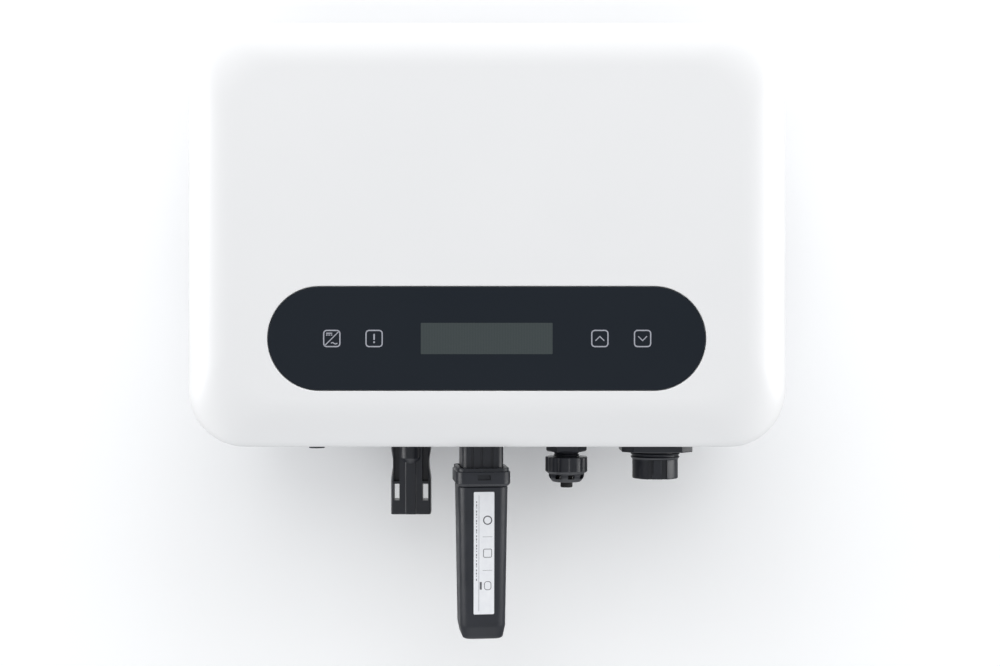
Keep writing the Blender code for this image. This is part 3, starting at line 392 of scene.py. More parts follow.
# For each material: roughness, metallic and specular level; then a texture with its two colours, a
# texture with its two roughnesses, and a texture with its height.
LOOKS = {
    # Satin paint with a faint orange peel.
    "white_paint": (
        (0.38,), (("noise", 14), (0.776, 0.777, 0.781), (0.786, 0.786, 0.789)),
        (("noise", 60), 0.35, 0.41), (("noise", 650, 2.0), 0.012 * MM)),
    # Bead-blasted die casting.
    "cast_aluminium": (
        (0.5, 0.85), (("noise", 900, 4.0), (0.45, 0.46, 0.48), (0.53, 0.54, 0.56)),
        (("noise", 70), 0.46, 0.54), (("noise", 1400, 4.0), 0.04 * MM)),
    # Zinc spangle over rolled sheet.
    "galvanised_steel": (
        (0.4, 1.0), (("cells", 230), (0.56, 0.57, 0.585), (0.66, 0.67, 0.68), 0.1, 0.9),
        (("cells", 230), 0.34, 0.44), (("noise", 500, 4.0, (1, 1, 6)), 0.01 * MM)),
    # Plated steel with a fine turned grain.
    "bright_steel": (
        (0.26, 1.0), (("noise", 220), (0.62, 0.62, 0.61), (0.78, 0.78, 0.77)),
        (("noise", 500, 4.0), 0.2, 0.34), (("noise", 1800, 2.0), 0.006 * MM)),
    # Back-printed acrylic: near black, with faint handling marks in its gloss.
    "dark_window": (
        (0.09, 0.0, 0.3), (("noise", 9), (0.006, 0.010, 0.016), (0.008, 0.012, 0.018)),
        (("noise", 45, 5.0, (1, 1, 3)), 0.06, 0.13)),
    # Unlit display: greenish grey with a fine grid of cells.
    "lcd_panel": (
        (0.16, 0.0, 0.3), (("waves", 420, "X"), (0.041, 0.052, 0.053), (0.049, 0.060, 0.062), 0.2, 0.9),
        None, (("waves", 420, "Z"), 0.004 * MM)),
    "black_plastic": moulded((0.011, 0.013, 0.018), (0.016, 0.018, 0.025), 0.36),
    "blue_plastic": moulded((0.035, 0.09, 0.30), (0.05, 0.12, 0.36), 0.45),
    "red_insulation": moulded((0.40, 0.025, 0.018), (0.46, 0.04, 0.025), 0.5),
    "black_rubber": (
        (0.78, 0.0, 0.3), (("noise", 120, 5.0), (0.016, 0.016, 0.017), (0.03, 0.03, 0.031)),
        None, (("noise", 900, 5.0), 0.03 * MM)),
    "thermal_silicone": (
        (0.7,), (("noise", 200, 5.0), (0.5, 0.53, 0.56), (0.6, 0.62, 0.64)),
        None, (("noise", 700), 0.02 * MM)),
    # White printed film with a faint fibre in its surface.
    "label_film": (
        (0.38,), (("noise", 240, 5.0), (0.78, 0.79, 0.82), (0.83, 0.84, 0.86)),
        (("noise", 80), 0.32, 0.46), (("noise", 1500, 2.0), 0.004 * MM)),
    # Green solder mask over copper traces.
    "circuit_board": (
        (0.38,), (("cells", 260, "Distance"), (0.03, 0.17, 0.07), (0.015, 0.085, 0.035), 0.15, 0.35),
        None, (("cells", 260, "Distance"), 0.03 * MM)),
    "capacitor_sleeve": (
        (0.32,), (("noise", 50), (0.017, 0.025, 0.06), (0.025, 0.038, 0.085)),
        None, (("noise", 300), 0.01 * MM)),
    # Enamelled wire laid side by side.
    "copper_winding": (
        (0.35, 0.85), (("waves", 110, "DIAGONAL", 1.0), (0.3, 0.12, 0.05), (0.66, 0.32, 0.14), 0.1, 0.8),
        None, (("waves", 110, "DIAGONAL", 1.0), 0.3 * MM)),
    "ferrite": (
        (0.6,), (("noise", 150, 5.0), (0.06, 0.06, 0.065), (0.105, 0.105, 0.11)),
        None, (("noise", 800, 5.0), 0.04 * MM)),
    "brass": (
        (0.28, 1.0), (("noise", 260, 4.0), (0.62, 0.45, 0.18), (0.76, 0.58, 0.27)),
        (("noise", 400), 0.22, 0.36)),
    "clear_plastic": (
        (0.15,), (("noise", 90), (0.70, 0.74, 0.77), (0.80, 0.83, 0.85)),
        None, (("noise", 600), 0.005 * MM)),
}
FINISHES = {name: finish(name, *look) for name, look in LOOKS.items()}
INKS = {
    # The label's ink and the window's.
    "dark": finish("print_ink", (0.5,), (("noise", 900), (0.07, 0.07, 0.08), (0.12, 0.12, 0.13))),
    "pale": finish("print_white", (0.5,), (("noise", 900), (0.33, 0.34, 0.39), (0.38, 0.39, 0.44))),
}


def put(obj, name, slot, node=None, place=(0, 0, 0), turn=(0, 0, 0), body="unit", ink=None):
    """Name a finished piece, give it its material, put it in place and tie it to its body."""
    smooth(obj)
    obj.name = name
    obj.data.name = name
    obj.data.materials.clear()
    obj.data.materials.append(INKS[ink] if ink else FINISHES[slot])
    obj.location = place
    obj.rotation_euler = turn
    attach(obj, body)
    if node:
        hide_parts(node)


# ---- cover and window

COVER_SIZE = size("front_cover")
COVER_FRONT_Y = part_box("front_cover")[0].y
COVER_REAR_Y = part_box("front_cover")[1].y
WINDOW_SIZE = size("display_window")
WINDOW_Z = middle("display_window").z - UNIT.z
WINDOW_FRONT_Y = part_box("display_window")[0].y
SCREWS = [middle(f"cover_screw_{n}") - UNIT for n in range(1, 5)]


def body_outline(inset):
    share = min(inset / ROUND_INSET, 1.0)
    radius = BODY_CORNER + (FACE_CORNER - BODY_CORNER) * share
    return rounded(COVER_SIZE.x - 2 * inset, COVER_SIZE.z - 2 * inset, radius)


def window_outline(grow):
    height = WINDOW_SIZE.z + 2 * grow
    radius = height / 2 - 0.01 * MM
    return rounded(WINDOW_SIZE.x + 2 * grow, height, radius, centre=(0, WINDOW_Z))


def rounding(offset):
    """Rings of the rounded front edge from the side to the face, drawn in by the wall."""
    rings = []
    for n in range(ROUND_STEPS + 1):
        angle = math.radians(90) * (1 - n / ROUND_STEPS)
        inset = ROUND_INSET - (ROUND_INSET - offset) * math.sin(angle)
        depth = (ROUND_DEPTH - offset) * (1 - math.cos(angle))
        rings.append(at_y(body_outline(inset), COVER_FRONT_Y + offset + depth))
    return rings


def rod(p, radius, near, far):
    """A round rod along Y."""
    return bar(at_y, circle(radius, 32, (p.x, p.z)), near, far)


def corner_rods(radius, near, far):
    """Four rods along Y at the cover screws."""
    return [rod(p, radius, near, far) for p in SCREWS]


def front_cover():
    support = 0.4 * MM
    lip_inset = 11 * MM
    lip = rounded(COVER_SIZE.x - 2 * lip_inset, COVER_SIZE.z - 2 * lip_inset, 36 * MM)
    lip_y = COVER_REAR_Y - COVER_LIP
    rear = filleted([(lip_inset, COVER_REAR_Y), (0, COVER_REAR_Y, 0.7 * MM), (0, lip_y)], 0, 5)
    rings = [at_y(lip, COVER_REAR_Y)]
    rings += [at_y(body_outline(inset), y) for inset, y in rear[1:]]
    rings += rounding(0)
    rings.append(at_y(body_outline(ROUND_INSET + support), COVER_FRONT_Y))
    pocket = GAP + LIP_FILLET
    rings.append(at_y(window_outline(pocket + support), COVER_FRONT_Y))
    for n in range(6):
        angle = math.radians(90) * n / 5
        grow = pocket - LIP_FILLET * math.sin(angle)
        rings.append(at_y(window_outline(grow), COVER_FRONT_Y + LIP_FILLET * (1 - math.cos(angle))))
    for grow, depth in ((GAP, POCKET_DEPTH), (-SEAL_WIDTH, POCKET_DEPTH), (-SEAL_WIDTH, COVER_WALL)):
        rings.append(at_y(window_outline(grow), COVER_FRONT_Y + depth))
    rings += reversed(rounding(COVER_WALL))
    rings += [at_y(body_outline(COVER_WALL), lip_y), at_y(lip, lip_y)]
    cover = solid(rings, closed=True)
    join(cover, solid(*corner_rods(4 * MM, COVER_REAR_Y - 19 * MM, COVER_REAR_Y - 0.02 * MM)))
    cut(cover, solid(*corner_rods(SCREW_HOLE_R, COVER_REAR_Y - 15 * MM, COVER_REAR_Y + MM)))
    put(cover, "cover_shell", "white_paint", "front_cover", UNIT)


def display_window():
    front, rear = WINDOW_FRONT_Y, WINDOW_FRONT_Y + WINDOW_SIZE.y
    profile = filleted([(4 * MM, front), (0, front), (0, rear)], 0.3 * MM)
    rings = [at_y(window_outline(-inset), y) for inset, y in profile]
    panel = solid(rings)
    lcd = size("lcd_glass")
    recess = rounded(lcd.x, lcd.z, 0.5 * MM, 6, (0, WINDOW_Z))
    cut(panel, solid(bar(at_y, recess, front - MM, front + 0.08 * MM)))
    put(panel, "window_panel", "dark_window", "display_window", UNIT)
    area = rounded(lcd.x - 0.1 * MM, lcd.z - 0.1 * MM, 0.45 * MM, 6, (0, WINDOW_Z))
    clear = solid(bar(at_y, area, front + 0.02 * MM, front + 0.075 * MM))
    put(clear, "lcd_area", "lcd_panel", place=UNIT)


def printed(name, outlines, frames, place, front_y, ink, turn=(0, 0, 0), body="unit"):
    """Thin printed marks: filled outlines, and frames between two outlines."""
    bm = bmesh.new()
    near, far = front_y - 0.03 * MM, front_y - 0.002 * MM
    for outline in outlines:
        skin(bm, bar(at_y, outline, near, far))
    for outer, inner in frames:
        skin(bm, bar(at_y, outer, near, far) + bar(at_y, inner, far, near), closed=True)
    bmesh.ops.recalc_face_normals(bm, faces=bm.faces)
    put(object_from(bm, name), name, "label_film", None, place, turn, body, ink)


def window_symbols():
    """Four square outlines with a sign in each: conversion, fault, up and down."""
    side = 8.2 * MM
    line = 0.56 * MM
    corner = 1.75 * MM
    inside = side - 2 * line
    square = [(rounded(side, side, corner, 8), rounded(inside, inside, corner - line, 8))]
    reach = side / 2 - line - 0.2 * MM
    dash = 0.5 * MM
    top_z = 2.5 * MM
    low_z = 1.65 * MM
    wave = [(n * 0.13 * MM - 0.4 * MM, 0.32 * MM * math.sin(n * math.tau / 22) - 2.25 * MM)
            for n in range(24)]
    conversion = [strip([(-reach, -reach), (reach, reach)], line * 0.85),
                  strip([(-2.7 * MM, top_z), (0.2 * MM, top_z)], dash),
                  strip(wave, dash)]
    for n in range(3):
        start = (-2.7 + 1.1 * n) * MM
        conversion.append(strip([(start, low_z), (start + 0.7 * MM, low_z)], dash))
    fault = [rounded(0.72 * MM, 2.9 * MM, 0.3 * MM, 4, (0, 0.75 * MM)),
             circle(0.46 * MM, 20, (0, -1.75 * MM))]
    arrow_line = 0.46 * MM
    arrow = [mm(-2.05, -1.05), (0, 1.0 * MM), mm(2.05, -1.05)]
    down = [(x, -z) for x, z in arrow]
    marks = (("status_light_guide", "status_symbol", conversion),
             ("fault_light_guide", "fault_symbol", fault),
             ("up_key_spring", "up_symbol", [strip(arrow, arrow_line)]),
             ("down_key_spring", "down_symbol", [strip(down, arrow_line)]))
    for node, name, outlines in marks:
        place = (middle(node).x, 0, UNIT.z + WINDOW_Z)
        printed(name, outlines, square, place, WINDOW_FRONT_Y, "pale")


def cover_gasket():
    low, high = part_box("cover_gasket")
    margin = 2.5 * MM
    edge = 0.35 * MM
    inner = rounded(271 * MM, 189 * MM, 35 * MM)
    profile = ((margin + edge, low.y), (margin, low.y + edge), (margin, high.y - edge),
               (margin + edge, high.y))
    rings = [at_y(rounded(COVER_SIZE.x - 2 * inset, COVER_SIZE.z - 2 * inset, BODY_CORNER - margin), y)
             for inset, y in profile]
    rings += bar(at_y, inner, high.y, low.y)
    gasket = solid(rings, closed=True)
    cut(gasket, solid(*corner_rods(SCREW_HOLE_R, low.y - MM, high.y + MM)))
    put(gasket, "gasket_ring", "black_rubber", "cover_gasket", UNIT)


def screw(node, axis, head_r, head_h, washer=None, cross=3.4 * MM):
    """A pan-head screw with a cross recess, along X or Y with its head on the far side."""
    low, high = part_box(node)
    index = 0 if axis == "X" else 1
    length = (high - low)[index]
    place = middle(node)
    place[index] = high[index]
    profile = [(0.3 * head_r, 0), (0.72 * head_r, -0.12 * head_h), (head_r, -0.62 * head_h),
               (head_r, -head_h)]
    under = -head_h
    if washer:
        under -= 0.8 * MM
        profile += [(washer, -head_h), (washer, under)]
    profile += [(SCREW_SHANK_R, under), (SCREW_SHANK_R, 0.6 * MM - length), (1.3 * MM, -length)]
    made = solid(turned(filleted(profile, 0.35 * MM, 3), 48))
    half = cross / 2
    depth = 0.7 * head_h
    wide = 0.45 * MM
    for u, v in ((half, wide), (wide, half)):
        outline = [(-u, -v), (u, -v), (u, v), (-u, v)]
        cut(made, solid([at_z(scaled(outline, 0.6), -depth), at_z(outline, 0.2 * MM)]))
    turn = (0, math.radians(90), 0) if axis == "X" else (math.radians(-90), 0, 0)
    put(made, f"{node}_head", "bright_steel", node, place, turn)


def screws():
    for n in range(1, 5):
        screw(f"cover_screw_{n}", "Y", *mm(3.5, 2.4))
    for side in ("left", "right"):
        screw(f"rail_screw_{side}", "Y", *mm(3.6, 2.2))
    screw("lock_screw", "X", *mm(3.5, 3.0, 4.5, 4))
    screw("earth_screw", "X", *mm(3.4, 2.4, 4.4, 4))


# ---- rear housing

def tray_half_height(x):
    """Half the tray's height at a distance from its middle, inside its corner arcs."""
    past = abs(x) - (TRAY_WIDTH / 2 - TRAY_CORNER)
    straight = TRAY_HEIGHT / 2 - TRAY_CORNER
    if past <= 0:
        return TRAY_HEIGHT / 2
    return straight + math.sqrt(TRAY_CORNER ** 2 - past ** 2)


def fin_section(x, tip_y):
    """Cross-section of a fin: flared at its root, tapered, with a round tip."""
    height = max(tip_y - BASE_REAR_Y, 0.4 * MM)
    top = BASE_REAR_Y + height
    flare = min(1.1 * MM, 0.4 * height)
    share = height / (FIN_TIP_Y - BASE_REAR_Y)
    tip = (FIN_THICK - (FIN_THICK - FIN_TIP_THICK) * share) / 2
    root = FIN_THICK / 2
    side = [(root + flare, BASE_REAR_Y - 1.5 * MM), (root + flare, BASE_REAR_Y),
            (root + 0.35 * flare, BASE_REAR_Y + 0.35 * flare), (root, BASE_REAR_Y + flare)]
    arc = min(tip, 0.5 * height)
    for n in range(5):
        angle = math.radians(90) * n / 4
        side.append((0.35 * tip + 0.65 * tip * math.cos(angle), top - arc + arc * math.sin(angle)))
    return [(x + u, v) for u, v in side] + [(x - u, v) for u, v in reversed(side)]


def cooling_fins():
    fins = []
    for n in range(FIN_COUNT):
        x = (n - (FIN_COUNT - 1) / 2) * FIN_PITCH
        reach = tray_half_height(x) - 4 * MM
        tip = reach - FIN_SLOPE
        path = [(-reach, BASE_REAR_Y + 0.4 * MM), (-tip, FIN_TIP_Y, 3 * MM)]
        if abs(x) < POCKET_HALF_WIDTH:
            step = 1.5 * MM
            path += [(POCKET_LOW - step, FIN_TIP_Y), (POCKET_LOW, POCKET_Y),
                     (POCKET_HIGH, POCKET_Y), (POCKET_HIGH + step, FIN_TIP_Y)]
        path += [(tip, FIN_TIP_Y, 3 * MM), (reach, BASE_REAR_Y + 0.4 * MM)]
        fins.append([at_z(fin_section(x, tip_y), z) for z, tip_y in filleted(path, 0.8 * MM)])
    return solid(*fins)


def rear_bosses():
    """Pads for the rail's screws, a block for the lock screw and the board's pillars."""
    bodies = []
    for side in ("left", "right"):
        p = middle(f"rail_screw_{side}") - UNIT
        pad = filleted([(6.6 * MM, BASE_REAR_Y - MM), (5.6 * MM, PAD_Y), (1 * MM, PAD_Y)], 0.5 * MM)
        bodies.append([at_y(circle(radius, 40, (p.x, p.z)), y) for radius, y in pad])
    lock = middle("lock_screw") - UNIT
    inner_x, face_x = mm(114, 125.5)
    root, tip = BASE_REAR_Y - MM, lock.y + 5 * MM
    outline = filleted([(inner_x, root), (face_x, root), (face_x, tip), (inner_x, tip)], MM,
                       closed=True)
    bodies.append(bar(at_z, outline, lock.z - 8 * MM, lock.z + 8 * MM))
    for sx in (-1, 1):
        for z in mm(-68, 74):
            bodies.append(rod(Vector((sx * 104 * MM, 0, z)), 4 * MM, BASE_FRONT_Y + MM, -44.1 * MM))
    return solid(*bodies)


def housing_holes():
    """Holes for the fittings, the rail screws, the lock screw and the earth screw."""
    bodies = []
    fittings = (("dc_contact_positive", SPIGOT_R), ("dc_contact_negative", SPIGOT_R),
                ("gland_pin", SPIGOT_R), ("ac_insert", 11 * MM), ("vent_valve", 3 * MM),
                ("dongle_case", 8.7 * MM))
    for node, radius in fittings:
        p = middle(node)
        outline = circle(radius + GAP, 48, (p.x, p.y))
        bodies.append(bar(at_z, outline, UNDERSIDE - 2 * MM, UNDERSIDE + 6 * MM))
    for side in ("left", "right"):
        p = middle(f"rail_screw_{side}") - UNIT
        bodies.append(rod(p, SCREW_HOLE_R, PAD_Y - 8 * MM, PAD_Y + MM))
    for node, start, end in (("lock_screw", 116 * MM, 127 * MM),
                             ("earth_screw", TRAY_WIDTH / 2 - 6 * MM, TRAY_WIDTH / 2 + 6 * MM)):
        p = middle(node) - UNIT
        bodies.append(bar(at_x, circle(SCREW_HOLE_R, 32, (p.y, p.z)), start, end))
    return solid(*bodies, *corner_rods(SCREW_HOLE_R, FLANGE_FRONT_Y - MM, FLANGE_REAR_Y + MM))


def rear_housing():
    inset = 1.5 * MM
    cavity = rounded(TRAY_WIDTH - 2 * TRAY_WALL, TRAY_HEIGHT - 2 * TRAY_WALL, TRAY_CORNER - TRAY_WALL)
    rings = bar(at_y, cavity, BASE_FRONT_Y, FLANGE_FRONT_Y)
    edge = 0.6 * MM
    flange = filleted([(8 * MM, FLANGE_FRONT_Y), (inset, FLANGE_FRONT_Y), (inset, FLANGE_REAR_Y),
                       (8 * MM, FLANGE_REAR_Y)], edge)
    rings += [at_y(rounded(COVER_SIZE.x - 2 * i, COVER_SIZE.z - 2 * i, BODY_CORNER - i), y)
              for i, y in flange[1:-1]]
    walls = filleted([(-0.2 * MM, FLANGE_REAR_Y), (0, FLANGE_REAR_Y + 0.5 * MM),
                      (0, BASE_REAR_Y, 3 * MM), (6 * MM, BASE_REAR_Y)], 0.4 * MM, 6)
    rings += [at_y(rounded(TRAY_WIDTH - 2 * i, TRAY_HEIGHT - 2 * i, TRAY_CORNER - i), y)
              for i, y in walls]
    housing = solid(rings)
    join(housing, cooling_fins(), rear_bosses())
    cut(housing, housing_holes())
    put(housing, "housing_casting", "cast_aluminium", "rear_housing", UNIT)


# ---- bracket and rail

def wall_bracket():
    plate = rounded(150 * MM, 70 * MM, 5 * MM, 10)
    bracket = solid(bar(at_y, plate, -SHEET, 0))
    bodies = []
    tongue = strip([(-MM, 5 * MM), mm(-8, 5), mm(-8, 20)], SHEET, 2 * MM)
    for sx in (-1, 1):
        bodies.append(bar(at_x, tongue, sx * TONGUE_X - 13 * MM, sx * TONGUE_X + 13 * MM))
    arm = strip([(71 * MM, -MM), (127 * MM, -MM), mm(127, -16.5)], SHEET, 2.5 * MM)
    bodies.append(bar(at_z, arm, -10 * MM, 10 * MM))
    join(bracket, solid(*bodies))
    lock = middle("lock_screw")
    slot = rounded(5 * MM, 27 * MM, 2.49 * MM, 8, (lock.y, lock.z + 11 * MM))
    holes = [bar(at_x, slot, 124 * MM, 130 * MM)]
    for sx in (-1, 1):
        for sz in (-1, 1):
            hole = circle(4 * MM, 40, (sx * 66 * MM, sz * 24 * MM))
            holes.append(bar(at_y, hole, -3 * MM, MM))
    cut(bracket, solid(*holes))
    soften(bracket, 0.25 * MM)
    put(bracket, "wall_plate", "galvanised_steel", "wall_bracket", body="bracket")


def hanging_rail():
    low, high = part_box("hanging_rail")
    sheet = 1.5 * MM
    outline = rounded(high.x - low.x, high.z - low.z, 3 * MM, 8, (0, middle("hanging_rail").z))
    rail = solid(bar(at_y, outline, low.y, low.y + sheet))
    lip_y = high.y - SHEET / 2
    web_z = 21.3 * MM
    lip = strip([(low.y + 0.7 * MM, web_z), (lip_y, web_z), (lip_y, low.z)], SHEET, 1.8 * MM)
    join(rail, solid(*[bar(at_x, lip, sx * TONGUE_X - 15 * MM, sx * TONGUE_X + 15 * MM)
                       for sx in (-1, 1)]))
    cut(rail, solid(*[rod(middle(f"rail_screw_{side}"), SCREW_HOLE_R, low.y - MM, low.y + 3 * MM)
                      for side in ("left", "right")]))
    soften(rail, 0.2 * MM)
    put(rail, "rail_plate", "galvanised_steel", "hanging_rail")


# ---- sockets and gland

def fitting_place(node):
    """Where a fitting's axis meets the height of the body's middle."""
    p = middle(node)
    return (p.x, p.y, UNIT.z)


def dc_socket(sign):
    """Solar socket: a waisted frame round an eight-sided barrel, with latch windows."""
    depth = 11 * MM
    end = -143 * MM
    waist = filleted([(10.4 * MM, FITTING_TOP), mm(10.4, -108.5, 20),
                      mm(9.5, -114, 12), mm(9.5, -118, 12),
                      mm(10.4, -124, 20), (10.4 * MM, end)], 0, 8)
    rings = [at_z(rounded(2 * half, depth, 1.2 * MM, 5), z) for half, z in waist[:-1]]
    for inset, rise in ((0, 0.35), (0.1, 0.1), (0.35, 0)):
        foot = rounded(20.8 * MM - 2 * inset * MM, depth - 2 * inset * MM, 1.1 * MM, 5)
        rings.append(at_z(foot, end + rise * MM))
    socket = solid(rings)
    slots = []
    for inner, outer in ((-9.1, -6), (6, 9.1)):
        for near, far, low, high in ((-8, -1.8, -125.6, -103), (1.8, 8, -125.6, -103),
                                     (-8, 8, -135.6, -126.9)):
            slots.append(box(mm(inner, near, low), mm(outer, far, high)))
    cut(socket, solid(*slots))
    barrel = filleted(circle(6.45 * MM, 8, turn=math.radians(22.5)), 0.5 * MM, 3, closed=True)
    join(socket, solid([at_z(scaled(barrel, 0.95), end), at_z(barrel, end + 0.3 * MM),
                        at_z(barrel, FITTING_TOP)]))
    boss = filleted([(5.95 * MM, FITTING_TOP), mm(5.95, -113.6, 1.0),
                     mm(3.6, -116.2, 0.6), mm(2, -116.2)], 0)
    join(socket, solid(turned(boss, 64, (0, -2.5 * MM))))
    join(socket, solid(turned(((SPIGOT_R, SPIGOT_FOOT), (SPIGOT_R, SPIGOT_TOP)))))
    bore = ((4.7 * MM, end - 0.01 * MM), (4.2 * MM, end + 0.5 * MM), mm(4.2, -86))
    cut(socket, solid(turned(bore, 64)))
    place = fitting_place(f"dc_contact_{sign}")
    put(socket, f"dc_{sign}_shell", "black_plastic", f"dc_socket_{sign}", place)
    contact = ((0.9 * MM, end + 8 * MM), (1.5 * MM, end + 8.5 * MM), (1.8 * MM, end + 9.5 * MM),
               mm(1.8, -104), mm(3.9, -104), mm(3.9, -92),
               mm(2.2, -92), mm(2.2, -84))
    pin = solid(turned(filleted(contact, 0.2 * MM, 3), 40))
    put(pin, f"dc_{sign}_pin", "brass", f"dc_contact_{sign}", place)


def dc_sockets():
    dc_socket("positive")
    dc_socket("negative")


def gland_body():
    end = -110.2 * MM
    half = 10.8 * MM
    hexagon = filleted(circle(half, 6), 0.7 * MM, closed=True)
    chamfer = 0.7 * MM
    profile = ((FITTING_TOP, 0), (end + chamfer, 0), (end, chamfer))
    body = solid([at_z(scaled(hexagon, 1 - inset / half), z) for z, inset in profile])
    pitch = 1.5 * MM
    crest, root = 6.8 * MM, 6.15 * MM
    thread = [(crest, -105 * MM), (crest, end - 0.6 * MM)]
    for n in range(5):
        z = end - 0.9 * MM - n * pitch
        thread += [(radius, z - drop * MM)
                   for radius, drop in ((root, 0.1), (root, 0.35), (crest, 0.75), (crest, 1.0))]
    thread += [(root, -118.6 * MM), (root - 0.4 * MM, -119 * MM)]
    join(body, solid(turned(thread)))
    join(body, solid(turned(((SPIGOT_R, SPIGOT_FOOT), (SPIGOT_R, -91 * MM)))))
    bore = (mm(5, -120), mm(5, -116), mm(4.2, -112), mm(4.2, -90))
    cut(body, solid(turned(bore)))
    soften(body, 0.2 * MM, angle=50)
    put(body, "gland_hexagon", "black_plastic", "gland_body", fitting_place("gland_pin"))


def fluted(radius, depth, lobes, steps):
    """Outline of a nut with broad ribs and narrow grooves between them."""
    points = []
    for n in range(lobes * steps):
        angle = math.tau * n / (lobes * steps)
        wave = 0.5 + 0.5 * math.cos(lobes * angle)
        reach = radius - depth * wave ** 3
        points.append((reach * math.cos(angle), reach * math.sin(angle)))
    return points


def gland_nut():
    top, shoulder, end = -112.9 * MM, -121.5 * MM, -126.2 * MM
    bore = 7.1 * MM
    hole = 3.5 * MM
    nut_r = 11.2 * MM
    lobes, steps = 9, 16
    count = lobes * steps
    outer = filleted([(nut_r - MM, top), (nut_r, top), (nut_r, shoulder + MM),
                      (9.5 * MM, shoulder - 0.3 * MM)], 0.5 * MM)
    rings = []
    for radius, z in outer:
        depth = 0.75 * MM * min(1.0, max(0.0, (radius - 9.4 * MM) / MM))
        rings.append(at_z(fluted(radius, depth, lobes, steps), z))
    dome = filleted([(9.4 * MM, shoulder - 0.5 * MM), (9.3 * MM, shoulder - 2.2 * MM, 3 * MM),
                     (7.4 * MM, end, 1.6 * MM), (hole, end)], 0.4 * MM, 6)
    rings += [at_z(circle(radius, count), z) for radius, z in dome]
    inside = [(hole, end + 1.4 * MM), (bore, end + 1.7 * MM), (bore, top)]
    rings += [at_z(circle(radius, count), z) for radius, z in inside]
    nut = solid(rings, closed=True)
    slots = []
    for n in range(8):
        angle = math.tau * (n + 0.3) / 8
        c, s = math.cos(angle), math.sin(angle)
        slot = filleted([mm(6, -1.7), mm(12, -1.7), mm(12, 1.7), mm(6, 1.7)], 0.3 * MM, closed=True)
        outline = [(u * c - v * s, u * s + v * c) for u, v in slot]
        slots.append(bar(at_z, outline, shoulder - 0.7 * MM, shoulder - 2.9 * MM))
    cut(nut, solid(*slots))
    place = fitting_place("gland_pin")
    put(nut, "gland_cap_nut", "black_plastic", "gland_nut", place, body="gland_nut")


def gland_insert():
    hole = 3.5 * MM
    seal = [(hole, -115 * MM), mm(4.1, -115), mm(4.6, -119.3), mm(6.0, -119.3),
            mm(6.0, -121.0), mm(4.0, -123.4), (hole, -123.4 * MM)]
    ring = solid(turned(filleted(seal, 0.2 * MM, 3, closed=True)), closed=True)
    place = fitting_place("gland_pin")
    put(ring, "gland_seal_ring", "black_rubber", "gland_seal", place, body="gland_insert")
    radius = 3.2 * MM
    pin = filleted([mm(1.5, -129.2), (radius, -129.2 * MM, 0.6 * MM), (radius, -108.4 * MM, 0.6 * MM),
                    mm(1.5, -108.4)], 0, 6)
    made = solid(turned(pin, 48))
    put(made, "gland_blanking_pin", "black_rubber", "gland_pin", place, body="gland_insert")


def chamfered(width, depth, corner):
    """A rectangle with its corners cut off, counter-clockwise."""
    points = []
    for sx, sy in ((1, 1), (-1, 1), (-1, -1), (1, -1)):
        side = (sx * width / 2, sy * (depth / 2 - corner))
        end = (sx * (width / 2 - corner), sy * depth / 2)
        points += [side, end] if sx * sy > 0 else [end, side]
    return points


def ac_socket():
    """Grid socket: chamfered flange, two thin collars and a round body with keyed ways."""
    end = -124.2 * MM
    flange_end = -109.8 * MM
    flange = filleted(chamfered(36.8 * MM, 33 * MM, 6 * MM), 0.6 * MM, 3, closed=True)
    half = 18.4 * MM
    edge = filleted([(0, FITTING_TOP), (0, flange_end), (MM, flange_end)], 0.5 * MM)[:-1]
    socket = solid([at_z(scaled(flange, 1 - inset / half), z) for inset, z in edge])
    profile = filleted([mm(12.2, -105), mm(12.2, -110.6), mm(13, -111.2),
                        mm(12.3, -111.9), mm(12.3, -112.3), mm(13, -112.9),
                        mm(12.2, -113.8), mm(12, -114.2),
                        (12 * MM, end, 0.5 * MM), (8 * MM, end)], 0.15 * MM, 3)
    barrel = solid(turned(profile, 96))
    low, high = -113.9 * MM, end - MM
    for front in (-1, 1):
        for start, stop, floor in ((-4.8, -2.6, 9.5), (-2.65, 2.75, 10.3), (2.7, 5.2, 9.5)):
            near, far = sorted((front * floor * MM, front * 14 * MM))
            cut(barrel, solid(box((start * MM, near, high), (stop * MM, far, low))))
    key = filleted([mm(-2.1, -11.3), mm(2.1, -11.3), mm(2.1, -10),
                    mm(-2.1, -10)], 0.3 * MM, closed=True)
    join(socket, barrel, solid(bar(at_z, key, -114.2 * MM, -121.3 * MM)))
    join(socket, solid(turned(((11 * MM, SPIGOT_FOOT), (11 * MM, SPIGOT_TOP)), 96)))
    cut(socket, solid(turned(((9 * MM, end - MM), mm(9, -86)), 96)))
    place = fitting_place("ac_insert")
    put(socket, "ac_shell", "black_plastic", "ac_socket", place)
    body = filleted([mm(4, -110), mm(8.7, -110), mm(8.7, -90), mm(7, -90),
                     mm(7, -85), mm(2, -85)], 0.4 * MM)
    insert = solid(turned(body))
    holes = []
    for n in range(3):
        angle = math.radians(90 + 120 * n)
        centre = (4.6 * MM * math.cos(angle), 4.6 * MM * math.sin(angle))
        holes.append(turned((mm(1.8, -98), mm(1.8, -109.6), mm(2.3, -110.2)), 32, centre))
    cut(insert, solid(*holes))
    put(insert, "ac_contact_block", "black_plastic", "ac_insert", place)


